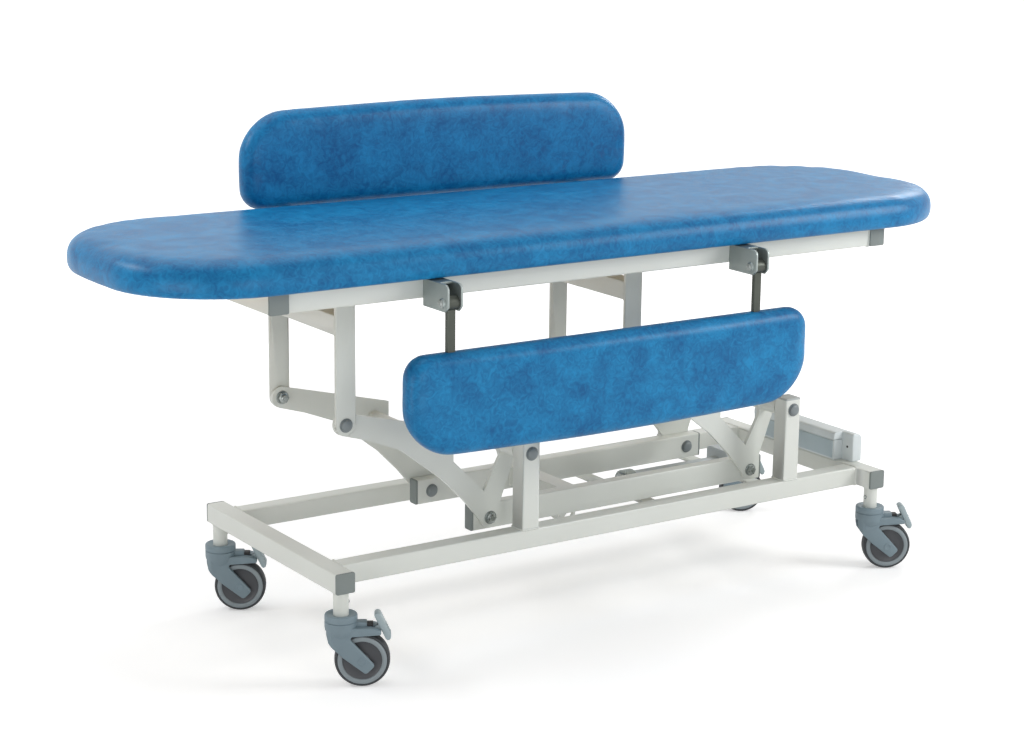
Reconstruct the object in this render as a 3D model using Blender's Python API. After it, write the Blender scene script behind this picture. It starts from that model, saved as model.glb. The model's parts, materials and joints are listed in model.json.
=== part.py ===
"""Electric changing table: castor base, four-bar lift, padded top and two folding side pads.

Metres, +Z up, +X along the table.  The origin is on the floor under the middle of the top.
The table stands as photographed: lift part way up, near side pad hanging, far one raised.
"""

import math

import bmesh
import bpy
from mathutils import Matrix, Vector

# Clearances between pieces
SEAT = 0.0002        # between pieces that are screwed, pressed or welded together
RUN = 0.0003         # between pieces that turn or slide on each other
ARC_STEPS = 6        # facets in a quarter turn of a plate's or pad's corner
ROUND_STEPS = 20     # facets round a wheel, collar or large shaft
PIN_STEPS = 16       # facets round a bolt, pin or hole
TUBE_STEPS = 2       # facets in the corner of a square tube
PAST = 0.010         # how far a cutter reaches past what it cuts

# Square tube of the base and of the upper frame
TUBE = 0.038
TUBE_WALL = 0.002
TUBE_CORNER = 0.0035
CAP_HEAD = 0.0045
CAP_PLUG = 0.020
VENT = 0.012         # drain hole between the bores of tubes that meet

# Base
BASE_LEFT_X = -0.562
BASE_LENGTH = 1.265          # between the centre lines of the cross tubes
BASE_WIDTH = 0.519           # over the end caps
BASE_Z = 0.1757              # underside of the base tubes
LONG_TUBE_Y = 0.1952
POST_X = -0.1377             # left posts, on the crank's pivot
POST_TOP = 0.3823
POST_LID = 0.003

# Castors
CASTOR_Y = 0.2404
SWIVEL = math.radians(-30)   # way the castors trail as the table stands
STEM_RADIUS = 0.0138
STEM_INSERT = 0.012          # length of the stem inside the collar
SET_SCREW_RADIUS = 0.003
SET_SCREW_HEAD = 0.002       # out of the stem
COLLAR_RADIUS = 0.0296
COLLAR_TOP = 0.135
COLLAR_ROUND = 0.006
COLLAR_SEAM_Z = 0.1223
COLLAR_TAPER_Z = (0.094, 0.110)
COLLAR_TAPER = 0.8           # narrowing of the collar's foot inside the fork
SEAM_DEPTH = 0.0012
WHEEL_RADIUS = 0.050
WHEEL_WIDTH = 0.032
RIM_RADIUS = 0.044
HUB_RADIUS = 0.036
HUB_RECESS = 0.004
HUB_FACE_RADIUS = 0.013
WHEEL_EDGE = 0.001           # rim's side below the hub's face
TYRE_EDGE = 0.002            # tyre's side below the hub's face
TRAIL = 0.0375
AXLE_RADIUS = 0.005
FORK_GAP = 0.0015            # between the wheel and each fork leg
TREAD_GAP = 0.0025           # between the tread and the housing
FORK_LEG = 0.006
FORK_TIP_RADIUS = 0.0142
FORK_TIP_SPAN = (233, 405)   # degrees round the axle
FORK_TRIM = 0.0005           # fork's back inside the collar's outline
FORK_BACK = ((-0.0296, 0.114), (-0.0290, 0.107), (-0.0229, 0.0853), (-0.0094, 0.0700), (0.0059, 0.0558))
FORK_FRONT = ((0.0190, 0.0889), (0.0175, 0.0930), (0.0200, 0.0968))
SHELF = ((0.0712, 0.1000), (0.0716, 0.1050), (0.0660, 0.1092), (0.0580, 0.1118), (0.0460, 0.1128),
         (0.0100, 0.1128))
BACK_ROOM_X = -0.012         # opening between the fork legs, behind the wheel
BACK_ROOM_HALF = 0.012
BACK_ROOM_TOP = 0.106
PEDAL_X = 0.064              # pedal's hinge, from the stem's axis
PEDAL_Z = 0.1077
PEDAL_WIDTH = 0.026
PEDAL_HALF_LENGTH = 0.0276
PEDAL_THICKNESS = 0.012
PEDAL_LEAN = math.radians(-65)
PEDAL_TIP = 0.006            # bevel at the pedal's ends
PEDAL_BLOCK_X = (0.020, 0.0463)
PEDAL_BLOCK_Z = (0.100, 0.1267)
PEDAL_BLOCK_HALF = 0.010
PEDAL_BRIDGE_Z = 0.1040
PEDAL_EAR = 0.004
PEDAL_EAR_RADIUS = 0.005
PEDAL_ROOM_X = 0.0575        # notch of the shelf for the pedal's ears
PEDAL_PIN_RADIUS = 0.003
PEDAL_BOSS_RADIUS = 0.0055
PEDAL_BOSS_HALF = 0.005
PEDAL_OFFSET = 0.0075        # pedal plate in front of its hinge

# Lift: crank pivots at the posts, A at the legs and C at the links, from the post pivot
PIVOT_Z = 0.3620
CRANK_SPACING = 0.6413
A_X, A_Z = -0.3499, 0.0831
C_X, C_Z = -0.0335, -0.1427
PLATE_OUTER_Y = 0.124
PLATE = 0.008
A_LOBE = 0.021
C_LOBE = 0.021
PIVOT_LOBE = 0.030
CRANK_LOWER_EDGE = ((-0.303, 0.047), (-0.234, 0.020), (-0.142, -0.051), (-0.095, -0.098))
CRANK_RIGHT_EDGE = ((-0.0095, -0.110),)
CRANK_NOTCH = ((-0.0130, -0.024), (-0.0475, -0.0885), (-0.1165, -0.020), (-0.1165, 0.0455))
SLEEVE_RADIUS = 0.019
PIVOT_RADIUS = 0.010
TORQUE_TUBE_RADIUS = 0.017
TORQUE_TUBE_X, TORQUE_TUBE_Z = -0.150, 0.014
BOLT_RADIUS = 0.008
BOLT_HEAD_RADIUS = 0.013
BOLT_HEAD = 0.008
DOME = 0.35                  # straight part of a bolt's head, as a share of its height

# Links between the cranks
LINK_HEIGHT = 0.050
LINK_THICKNESS = 0.025
LINK_WALL = 0.002
LINK_CORNER = 0.003
LINK_PLUG = 0.012
LINK_OVERHANG = 0.032        # past the pivots at each end
LINK_GAP = 0.0013            # between link and crank plate
LINK_CAP = 0.004
SPREADER_X = 0.0335          # tube that joins the links
SPREADER_WIDTH = 0.038
SPREADER_TOP_DROP = 0.004    # below the links' top

# Lug on the spreader and the actuator that pushes it
ROD_RADIUS = 0.010
ROD_LENGTH = 0.250
ROD_PIN_X = 0.085
ROD_PIN_RADIUS = 0.006
ROD_EYE_RADIUS = 0.014
ROD_EYE_WIDTH = 0.020
LUG_GAP = 0.024
LUG = 0.006
LUG_WALL = 0.006
LUG_BEVEL = 0.006
LUG_ROOT = 0.001             # into the spreader
LUG_ROOT_DROP = 0.012
SLOT_PLAY = 0.006            # each side of the pin, along the push
SLOT_DROP = 0.043            # way of the pin below its place here
SLOT_RISE = 0.006
ACTUATOR_FRONT_X = 0.226
ACTUATOR_TUBE_LENGTH = 0.255
ACTUATOR_RADIUS = 0.0205
MOTOR_LENGTH = 0.085
MOTOR_HALF_WIDTH = 0.034
MOTOR_HEIGHT = 0.058
MOTOR_CORNER = 0.010
BAR_X = (0.245, 0.520)       # flat bars under the base that carry the actuator
BAR_WIDTH = 0.030
BAR_THICKNESS = 0.006
BAR_REACH_Y = 0.190
SADDLE_WALL = 0.005
SADDLE_WIDTH = 0.026
SADDLE_FOOT = 0.014

# Upper frame, set in from the top's ends and sides
TOP_LENGTH = 1.799
TOP_WIDTH = 0.5416
UPPER_LEFT_INSET = 0.2252
UPPER_RIGHT_INSET = 0.2085
RAIL_INSET = 0.0393
UPPER_Z = 0.6873
LEG_WIDTH = 0.040
LEG = 0.006
BRACE_Z = 0.6113

# Hinge brackets and side pads
BRACKET_X = (-0.3716, 0.3232)
BRACKET_WIDTH = 0.032
BRACKET_PLATE = 0.004
BRACKET_REACH = 0.017        # past the hinge
BRACKET_BOTTOM = 0.6743
BRACKET_TOP_DROP = 0.001     # below the rails' top
BRACKET_BEVEL = 0.010
BRACKET_ROUND = 0.012
BRIDGE_GAP = 0.0015          # between the bracket's bridge and the arm's eye
HINGE_OVERHANG = 0.0272      # hinge outside the top pad
HINGE_Z = 0.6898
HINGE_PIN_RADIUS = 0.006
HINGE_HEAD_RADIUS = 0.009
HINGE_HEAD = 0.004
ARM_THICKNESS = 0.010
ARM_WIDTH = 0.017
ARM_CORNER = 0.002
ARM_EYE_RADIUS = 0.0135
ARM_IN_PAD = 0.050
SIDE_PAD_X = {"near": -0.010, "far": -0.022}
SIDE_PAD_LENGTH = 0.9014
SIDE_PAD_HEIGHT = 0.1816
SIDE_PAD_CORNER = 0.060      # at the free edge
SIDE_PAD_HINGE_CORNER = 0.035
SIDE_PAD_THICKNESS = 0.0508
SIDE_PAD_REACH = 0.181       # hinge to the pad's middle
SIDE_PAD_CROWN = 0.004

# Top
TOP_CORNER = 0.152
TOP_THICKNESS = 0.061
TOP_EDGE = 0.034
TOP_LOW_EDGE = 0.006         # where the cover is drawn tight under the board
TOP_CROWN = 0.003
PAD_LEAST_CORNER = 0.009     # corner left where a pad's edge curls in
BOARD_INSET = 0.034
BOARD_THICKNESS = 0.015

# Control box on the right cross tube
BOX_X = 0.681
BOX_DEPTH = 0.048
BOX_NEAR_Y = -0.145
BOX_LENGTH = 0.265
BOX_HEIGHT = 0.060
BOX_EDGE = 0.004
BOX_ROUND = 0.015            # upper corner away from the panel
BOX_PANEL = 0.0015           # depth of the panel's recess
BOX_PANEL_INSET = 0.020
BOX_PANEL_EDGE = 0.010
BOX_CAP_DEPTH = 0.026
BOX_CAP_LENGTH = 0.034
BOX_SCREW_RADIUS = 0.004
BOX_SCREW_HEAD = 0.0015

# Worked out from the above
BASE_RIGHT_X = BASE_LEFT_X + BASE_LENGTH
BASE_TOP = BASE_Z + TUBE
UPPER_LEFT_X = -TOP_LENGTH / 2 + UPPER_LEFT_INSET
UPPER_RIGHT_X = TOP_LENGTH / 2 - UPPER_RIGHT_INSET
RAIL_OUTER_Y = TOP_WIDTH / 2 - RAIL_INSET
HINGE_Y = TOP_WIDTH / 2 + HINGE_OVERHANG
BRACKET_TIP_Y = HINGE_Y + BRACKET_REACH
UPPER_TOP = UPPER_Z + TUBE
BASE_CROSS_HALF = BASE_WIDTH / 2 - CAP_HEAD - SEAT
UPPER_CROSS_HALF = RAIL_OUTER_Y
RAIL_Y = RAIL_OUTER_Y - TUBE / 2
PLATE_INNER_Y = PLATE_OUTER_Y - PLATE
LEG_INNER_Y = PLATE_OUTER_Y + RUN
LINK_OUTER_Y = PLATE_INNER_Y - LINK_GAP
LINK_INNER_Y = LINK_OUTER_Y - LINK_THICKNESS
PIVOTS_X = {"left": POST_X, "right": POST_X + CRANK_SPACING}
SIDES = {"near": -1, "far": 1}
AXLE_Z = WHEEL_RADIUS
TOP_Z = UPPER_TOP + SEAT
ROD_Z = BASE_Z + SEAT + ACTUATOR_RADIUS
ENDS_X = {"left": BASE_LEFT_X, "right": BASE_RIGHT_X}

COLOURS = {
    "frame": ((0.66, 0.68, 0.62), 0.35, 0.0),
    "cap": ((0.21, 0.24, 0.23), 0.5, 0.0),
    "castor": ((0.17, 0.23, 0.26), 0.45, 0.0),
    "rim": ((0.27, 0.31, 0.33), 0.45, 0.0),
    "rubber": ((0.045, 0.05, 0.055), 0.7, 0.0),
    "steel": ((0.45, 0.46, 0.45), 0.35, 1.0),
    "arm": ((0.09, 0.10, 0.09), 0.4, 0.6),
    "bracket": ((0.36, 0.38, 0.37), 0.45, 0.2),
    "vinyl": ((0.012, 0.14, 0.34), 0.42, 0.0),
    "board": ((0.42, 0.29, 0.17), 0.7, 0.0),
    "box": ((0.45, 0.47, 0.46), 0.5, 0.0),
    "actuator": ((0.12, 0.13, 0.13), 0.5, 0.0),
}


def clear_scene():
    for item in list(bpy.data.objects):
        bpy.data.objects.remove(item, do_unlink=True)


def arc(centre, radius, start, end, steps=ARC_STEPS):
    """Points along an arc, with the angles in degrees, counter-clockwise if end > start."""
    angles = [math.radians(start + (end - start) * i / steps) for i in range(steps + 1)]
    return [(centre[0] + radius * math.cos(a), centre[1] + radius * math.sin(a)) for a in angles]


def rounded_rectangle(half_u, half_v, radius, steps=ARC_STEPS, upper=None):
    """A closed outline about the origin, counter-clockwise; its upper corners can differ."""
    upper = radius if upper is None else upper
    u, v = half_u - radius, half_v - radius
    upper_u, upper_v = half_u - upper, half_v - upper
    return (arc((upper_u, upper_v), upper, 0, 90, steps)
            + arc((-upper_u, upper_v), upper, 90, 180, steps)
            + arc((-u, -v), radius, 180, 270, steps) + arc((u, -v), radius, 270, 360, steps))


def shifted(outline, du, dv):
    return [(u + du, v + dv) for u, v in outline]


def in_space(axis, u, v, along):
    """A point from its two coordinates across an axis and the one along it."""
    if axis == "X":
        return (along, u, v)
    if axis == "Y":
        return (u, along, v)
    return (u, v, along)


def solid(name, bm, smooth=False):
    """An object from a bmesh, with its faces turned outwards."""
    bmesh.ops.recalc_face_normals(bm, faces=bm.faces)
    mesh = bpy.data.meshes.new(name)
    bm.to_mesh(mesh)
    bm.free()
    item = bpy.data.objects.new(name, mesh)
    bpy.context.scene.collection.objects.link(item)
    if smooth:
        mesh.shade_smooth()
    return item


def prism(name, axis, outline, low, high):
    """An outline extruded along an axis."""
    bm = bmesh.new()
    face = bm.faces.new([bm.verts.new(in_space(axis, u, v, low)) for u, v in outline])
    grown = bmesh.ops.extrude_face_region(bm, geom=[face])
    moved = [g for g in grown["geom"] if isinstance(g, bmesh.types.BMVert)]
    bmesh.ops.translate(bm, verts=moved, vec=in_space(axis, 0, 0, high - low))
    return solid(name, bm)


def block(name, low, high):
    """A box between two corners."""
    outline = [(low[0], low[1]), (high[0], low[1]), (high[0], high[1]), (low[0], high[1])]
    return prism(name, "Z", outline, low[2], high[2])


def turned(name, axis, profile, centre=(0, 0, 0), steps=ROUND_STEPS, smooth=True):
    """A closed profile of (radius, place along the axis), turned about the axis."""
    bm = bmesh.new()
    start = [bm.verts.new(in_space(axis, r, 0, h)) for r, h in profile]
    pairs = zip(start, start[1:] + start[:1])
    on_axis = {v for v, (r, _) in zip(start, profile) if r == 0}
    edges = [bm.edges.new(p) for p in pairs if not on_axis.issuperset(p)]
    spun = {"X": (1, 0, 0), "Y": (0, 1, 0), "Z": (0, 0, 1)}[axis]
    bmesh.ops.spin(bm, geom=start + edges, cent=(0, 0, 0), axis=spun, angle=math.tau,
                   steps=steps, use_merge=True)
    bmesh.ops.remove_doubles(bm, verts=bm.verts, dist=1e-6)
    bmesh.ops.dissolve_degenerate(bm, dist=1e-7, edges=bm.edges)
    bmesh.ops.translate(bm, verts=bm.verts, vec=centre)
    return solid(name, bm, smooth)


def rod(name, axis, radius, low, high, centre=(0, 0, 0), steps=PIN_STEPS):
    """A plain round bar."""
    return turned(name, axis, [(0, low), (radius, low), (radius, high), (0, high)], centre, steps)


def joined(target, tool, operation):
    """Add a tool to a solid, or cut it away, and drop the tool."""
    step = target.modifiers.new(operation.title(), "BOOLEAN")
    step.operation = operation
    step.solver = "EXACT"
    step.object = tool
    bpy.context.view_layer.objects.active = target
    bpy.ops.object.modifier_apply(modifier=step.name)
    bpy.data.objects.remove(tool, do_unlink=True)
    return target


def weld(target, *tools):
    for tool in tools:
        joined(target, tool, "UNION")
    return target


def cut(target, *tools):
    for tool in tools:
        joined(target, tool, "DIFFERENCE")
    return target


def finish(item, colour, origin=(0, 0, 0)):
    """Give a node its material, and its origin on its joint's axis."""
    base, roughness, metallic = COLOURS[colour]
    material = bpy.data.materials.new(item.name)
    material.use_nodes = True
    shader = material.node_tree.nodes["Principled BSDF"]
    shader.inputs["Base Color"].default_value = (*base, 1.0)
    shader.inputs["Roughness"].default_value = roughness
    shader.inputs["Metallic"].default_value = metallic
    item.data.materials.clear()
    item.data.materials.append(material)
    item.data.transform(Matrix.Translation(-Vector(origin)))
    item.location = origin
    return item


def copied(item, name, location):
    """Another piece of the same shape, with its own mesh and material."""
    twin = bpy.data.objects.new(name, item.data.copy())
    bpy.context.scene.collection.objects.link(twin)
    twin.data.materials[0] = item.data.materials[0].copy()
    twin.data.materials[0].name = name
    twin.location = location
    return twin


def tube(name, axis, centre, low, high):
    """The outside of a square tube."""
    outline = rounded_rectangle(TUBE / 2, TUBE / 2, TUBE_CORNER, TUBE_STEPS)
    return prism(name, axis, shifted(outline, *centre), low, high)


def bore(name, axis, centre, low, high):
    """The inside of a square tube, as a cutter."""
    half = TUBE / 2 - TUBE_WALL
    outline = [(-half, -half), (half, -half), (half, half), (-half, half)]
    return prism(name, axis, shifted(outline, *centre), low, high)


def frame_tubes(name, left_x, right_x, rail_y, cross_half, bottom):
    """Two rails between two cross tubes, and the bores to cut out of them."""
    z = bottom + TUBE / 2
    reach = TUBE / 2 - TUBE_CORNER
    inside = TUBE / 2 - TUBE_WALL
    frame = tube(name, "Y", (left_x, z), -cross_half, cross_half)
    weld(frame, tube("cross", "Y", (right_x, z), -cross_half, cross_half))
    bores = [bore("cross_bore", "Y", (x, z), -cross_half - PAST, cross_half + PAST)
             for x in (left_x, right_x)]
    for sign in SIDES.values():
        y = sign * rail_y
        weld(frame, tube("rail", "X", (y, z), left_x + reach, right_x - reach))
        bores.append(bore("rail_bore", "X", (y, z), left_x + TUBE / 2 + TUBE_WALL,
                          right_x - TUBE / 2 - TUBE_WALL))
        bores.append(rod("vent", "X", VENT / 2, left_x + inside - 0.004,
                         right_x - inside + 0.004, (0, y, z), 12))
    return frame, bores


def side_span(sign, inner, outer):
    """Low and high Y of a stretch between two distances from the middle, on one side."""
    return tuple(sorted((sign * inner, sign * outer)))


def end_cap(name, x, sign, cross_half, bottom):
    """A plastic cap: a head over the tube's end and a plug inside it."""
    z = bottom + TUBE / 2
    face = cross_half + SEAT
    half = TUBE / 2 - TUBE_WALL - SEAT
    outline = shifted(rounded_rectangle(TUBE / 2, TUBE / 2, TUBE_CORNER, TUBE_STEPS), x, z)
    cap = prism(name, "Y", outline, *side_span(sign, face, face + CAP_HEAD))
    low, high = side_span(sign, face - CAP_PLUG, face + CAP_HEAD / 2)
    weld(cap, block("plug", (x - half, low, z - half), (x + half, high, z + half)))
    return finish(cap, "cap")


def base():
    """Base frame with its posts, castor stems and the bars under the actuator, and its caps."""
    frame, bores = frame_tubes("base_frame", BASE_LEFT_X, BASE_RIGHT_X, LONG_TUBE_Y,
                               BASE_CROSS_HALF, BASE_Z)
    for sign in SIDES.values():
        y = sign * LONG_TUBE_Y
        for x in PIVOTS_X.values():
            weld(frame, tube("post", "Z", (x, y), BASE_TOP - TUBE_CORNER, POST_TOP))
            bores.append(bore("post_bore", "Z", (x, y), BASE_TOP + TUBE_WALL, POST_TOP - POST_LID))
            bores.append(rod("vent", "Z", VENT / 2, BASE_TOP - TUBE_WALL - PAST,
                             BASE_TOP + TUBE_WALL + PAST, (x, y, 0), 12))
            low, high = side_span(sign, LONG_TUBE_Y - TUBE, LONG_TUBE_Y + TUBE)
            bores.append(rod("pivot_hole", "Y", PIVOT_RADIUS + SEAT, low, high, (x, 0, PIVOT_Z)))
        for x in ENDS_X.values():
            place = (x, sign * CASTOR_Y, 0)
            weld(frame, rod("stem", "Z", STEM_RADIUS, COLLAR_TOP - STEM_INSERT,
                            BASE_Z + TUBE_WALL / 2, place))
            inwards = -math.copysign(STEM_RADIUS + SET_SCREW_HEAD, x)
            weld(frame, rod("set_screw", "X", SET_SCREW_RADIUS, *sorted((0, inwards)),
                            (x, sign * CASTOR_Y, (BASE_Z + COLLAR_TOP) / 2), 12))
    for x in BAR_X:
        weld(frame, block("bar", (x - BAR_WIDTH / 2, -BAR_REACH_Y, BASE_Z - BAR_THICKNESS),
                          (x + BAR_WIDTH / 2, BAR_REACH_Y, BASE_Z)))
    finish(cut(frame, *bores), "frame")
    for side, sign in SIDES.items():
        for end, x in ENDS_X.items():
            end_cap(f"base_cap_{side}_{end}", x, sign, BASE_CROSS_HALF, BASE_Z)


def fork_outline():
    """Side view of the fork and its shelf, down to the axle: X from the stem, and Z."""
    tip = arc((TRAIL, AXLE_Z), FORK_TIP_RADIUS, *FORK_TIP_SPAN, 8)
    return list(FORK_BACK) + tip + list(FORK_FRONT) + list(SHELF)


def castor_fork(outer):
    """Fork and shelf between two faces, its back trimmed to the round of the collar."""
    fork = prism("fork", "Y", fork_outline(), -outer, outer)
    reach = 2 * COLLAR_RADIUS
    trim = block("trim", (-reach, -reach, 0), (0, reach, COLLAR_TOP))
    cut(trim, rod("round", "Z", COLLAR_RADIUS - FORK_TRIM, -reach, reach + COLLAR_TOP, steps=ROUND_STEPS))
    return cut(fork, trim)


def castor_housing():
    """Collar on the stem, fork, axle and the shelf that carries the pedal's hinge."""
    inner = WHEEL_WIDTH / 2 + FORK_GAP
    outer = inner + FORK_LEG
    foot, shoulder = COLLAR_TAPER_Z
    socket = STEM_RADIUS + RUN
    socket_bottom = COLLAR_TOP - STEM_INSERT - RUN
    collar = turned("castor_housing", "Z", [
        (0, foot), (COLLAR_RADIUS * COLLAR_TAPER, foot), (COLLAR_RADIUS, shoulder),
        (COLLAR_RADIUS, COLLAR_SEAM_Z - SEAM_DEPTH), (COLLAR_RADIUS - SEAM_DEPTH, COLLAR_SEAM_Z),
        (COLLAR_RADIUS, COLLAR_SEAM_Z + SEAM_DEPTH), (COLLAR_RADIUS, COLLAR_TOP - COLLAR_ROUND),
        (COLLAR_RADIUS - COLLAR_ROUND / 3, COLLAR_TOP - COLLAR_ROUND / 3),
        (COLLAR_RADIUS - COLLAR_ROUND, COLLAR_TOP), (socket, COLLAR_TOP),
        (socket, socket_bottom), (0, socket_bottom)])
    weld(collar, castor_fork(outer))
    room = WHEEL_RADIUS + TREAD_GAP
    cut(collar, rod("wheel_room", "Y", room, -inner, inner, (TRAIL, 0, AXLE_Z), ROUND_STEPS))
    cut(collar, block("under_room", (TRAIL - room, -inner, 0), (TRAIL + room, inner, AXLE_Z)))
    cut(collar, block("back_room", (-2 * COLLAR_RADIUS, -BACK_ROOM_HALF, 0),
                      (BACK_ROOM_X, BACK_ROOM_HALF, BACK_ROOM_TOP)))
    weld(collar, rod("axle", "Y", AXLE_RADIUS, -outer, outer, (TRAIL, 0, AXLE_Z)))
    weld(collar, block("pedal_block", (PEDAL_BLOCK_X[0], -PEDAL_BLOCK_HALF, PEDAL_BLOCK_Z[0]),
                       (PEDAL_BLOCK_X[1], PEDAL_BLOCK_HALF, PEDAL_BLOCK_Z[1])))
    ears = PEDAL_BOSS_HALF + PEDAL_EAR + 2 * RUN
    cut(collar, block("pedal_room", (PEDAL_ROOM_X, -ears, AXLE_Z), (2 * PEDAL_X, ears, COLLAR_TOP)))
    boss_top = PEDAL_Z + PEDAL_BOSS_RADIUS
    boss = PEDAL_BOSS_HALF
    weld(collar, block("pedal_bridge", (PEDAL_BLOCK_X[1] - boss, -boss, PEDAL_BRIDGE_Z),
                       (PEDAL_X, boss, boss_top)))
    weld(collar, rod("pedal_boss", "Y", PEDAL_BOSS_RADIUS, -boss, boss, (PEDAL_X, 0, PEDAL_Z)))
    cut(collar, rod("pedal_hole", "Y", PEDAL_PIN_RADIUS + RUN, -outer, outer, (PEDAL_X, 0, PEDAL_Z)))
    return finish(collar, "castor")


def castor_wheel():
    """Wheel about its axle, with a recessed hub on both sides."""
    half = WHEEL_WIDTH / 2
    side = [(AXLE_RADIUS + RUN, half), (HUB_FACE_RADIUS, half), (HUB_FACE_RADIUS, half - HUB_RECESS),
            (HUB_RADIUS, half - HUB_RECESS), (HUB_RADIUS + TYRE_EDGE, half - WHEEL_EDGE),
            (RIM_RADIUS, half - WHEEL_EDGE)]
    profile = [(r, -h) for r, h in side] + list(reversed(side))
    return finish(turned("castor_wheel", "Y", profile), "rim")


def castor_tyre():
    """Tyre round the rim, with a rounded tread."""
    half = WHEEL_WIDTH / 2
    side = [(RIM_RADIUS + SEAT, half - TYRE_EDGE), (WHEEL_RADIUS - 0.003, half - TYRE_EDGE),
            (WHEEL_RADIUS - 0.0008, half - 2.5 * TYRE_EDGE), (WHEEL_RADIUS, half - 5 * TYRE_EDGE)]
    profile = [(r, -h) for r, h in side] + list(reversed(side))
    return finish(turned("castor_tyre", "Y", profile), "rubber")


def castor_pedal():
    """Brake pedal about its hinge, with two ears astride the housing's boss."""
    end = PEDAL_HALF_LENGTH
    outline = [(-end, 0), (-end + PEDAL_TIP, PEDAL_THICKNESS * 0.6), (0, PEDAL_THICKNESS),
               (end - PEDAL_TIP, PEDAL_THICKNESS), (end, PEDAL_THICKNESS * 0.6), (end, 0.003),
               (end - PEDAL_TIP, 0), (0, 0.003)]
    half = PEDAL_WIDTH / 2
    pedal = prism("castor_pedal", "Y", shifted(outline, 0, PEDAL_OFFSET), -half, half)
    ear_low = PEDAL_BOSS_HALF + RUN
    ear_high = ear_low + PEDAL_EAR
    root = PEDAL_OFFSET + 0.0045
    round_end = arc((0, 0), PEDAL_EAR_RADIUS, 180, 360, 4)
    ear = [(-PEDAL_EAR_RADIUS, root), *round_end, (PEDAL_EAR_RADIUS, root)]
    for sign in SIDES.values():
        weld(pedal, prism("ear", "Y", ear, *side_span(sign, ear_low, ear_high)))
    weld(pedal, rod("pedal_pin", "Y", PEDAL_PIN_RADIUS, -ear_high, ear_high))
    pedal.data.transform(Matrix.Rotation(-PEDAL_LEAN, 4, "Y"))
    return finish(pedal, "castor")


def castors():
    """One castor built at the stem's axis, then set swivelled under each end of both cross tubes."""
    pieces = ((castor_housing(), 0, 0), (castor_wheel(), TRAIL, AXLE_Z),
              (castor_tyre(), TRAIL, AXLE_Z), (castor_pedal(), PEDAL_X, PEDAL_Z))
    for pattern, reach, z in pieces:
        pattern.data.transform(Matrix.Rotation(SWIVEL, 4, "Z"))
        for side, sign in SIDES.items():
            for end, x in ENDS_X.items():
                place = (x + reach * math.cos(SWIVEL), sign * CASTOR_Y + reach * math.sin(SWIVEL), z)
                copied(pattern, f"{pattern.name}_{side}_{end}", place)
    for pattern, _, _ in pieces:
        bpy.data.objects.remove(pattern, do_unlink=True)


def crank_outline():
    """Side view of a crank plate about its post pivot: long arm to A, short arm to C."""
    lean = math.degrees(math.atan2(A_Z, A_X))
    a_lobe = arc((A_X, A_Z), A_LOBE, lean - 75, lean + 90, 8)
    c_lobe = arc((C_X, C_Z), C_LOBE, 190, 330, 8)
    pivot_lobe = arc((0, 0), PIVOT_LOBE, -25, 150, 10)
    return (a_lobe + list(CRANK_LOWER_EDGE) + c_lobe + list(CRANK_RIGHT_EDGE) + pivot_lobe
            + list(CRANK_NOTCH))


def cranks():
    """Each crank is two plates welded to a sleeve on the post pivot and to a torque tube."""
    for end, x in PIVOTS_X.items():
        outline = shifted(crank_outline(), x, PIVOT_Z)
        sleeve_half = LONG_TUBE_Y - TUBE / 2 - RUN
        crank = rod(f"crank_{end}", "Y", SLEEVE_RADIUS, -sleeve_half, sleeve_half, (x, 0, PIVOT_Z))
        weld(crank, rod("torque_tube", "Y", TORQUE_TUBE_RADIUS, -PLATE_INNER_Y - 0.001,
                        PLATE_INNER_Y + 0.001, (x + TORQUE_TUBE_X, 0, PIVOT_Z + TORQUE_TUBE_Z)))
        for sign in SIDES.values():
            weld(crank, prism("plate", "Y", outline, *side_span(sign, PLATE_INNER_Y, PLATE_OUTER_Y)))
        reach = PLATE_OUTER_Y + PAST
        for px, pz in ((A_X, A_Z), (C_X, C_Z)):
            cut(crank, rod("bolt_hole", "Y", BOLT_RADIUS + RUN, -reach, reach,
                           (x + px, 0, PIVOT_Z + pz)))
        cut(crank, rod("pivot_bore", "Y", PIVOT_RADIUS + RUN, -LONG_TUBE_Y, LONG_TUBE_Y, (x, 0, PIVOT_Z)))
        finish(crank, "frame", (x, 0, PIVOT_Z))
        post_face = LONG_TUBE_Y + TUBE / 2 + SEAT
        head = [(PIVOT_RADIUS, post_face)] + bolt_head(post_face)
        profile = head + [(r, -h) for r, h in reversed(head)]
        shaft = turned(f"pivot_shaft_{end}", "Y", profile, (x, 0, PIVOT_Z), PIN_STEPS)
        finish(shaft, "steel", (x, 0, PIVOT_Z))


def bolt_head(seat):
    """Profile of a domed head, from its seat outwards."""
    return [(BOLT_HEAD_RADIUS, seat), (BOLT_HEAD_RADIUS, seat + BOLT_HEAD * DOME),
            (BOLT_HEAD_RADIUS * 0.8, seat + BOLT_HEAD * 0.75),
            (BOLT_HEAD_RADIUS * 0.4, seat + BOLT_HEAD * 0.97), (0, seat + BOLT_HEAD)]


def bolt(name, sign, x, z, tail, seat):
    """A dome-headed bolt through a pivot, from its tail's distance to its head's seat."""
    profile = [(0, tail), (BOLT_RADIUS, tail), (BOLT_RADIUS, seat)] + bolt_head(seat)
    item = turned(name, "Y", [(r, sign * h) for r, h in profile], (x, 0, z), PIN_STEPS)
    return finish(item, "steel", (x, 0, z))


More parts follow.
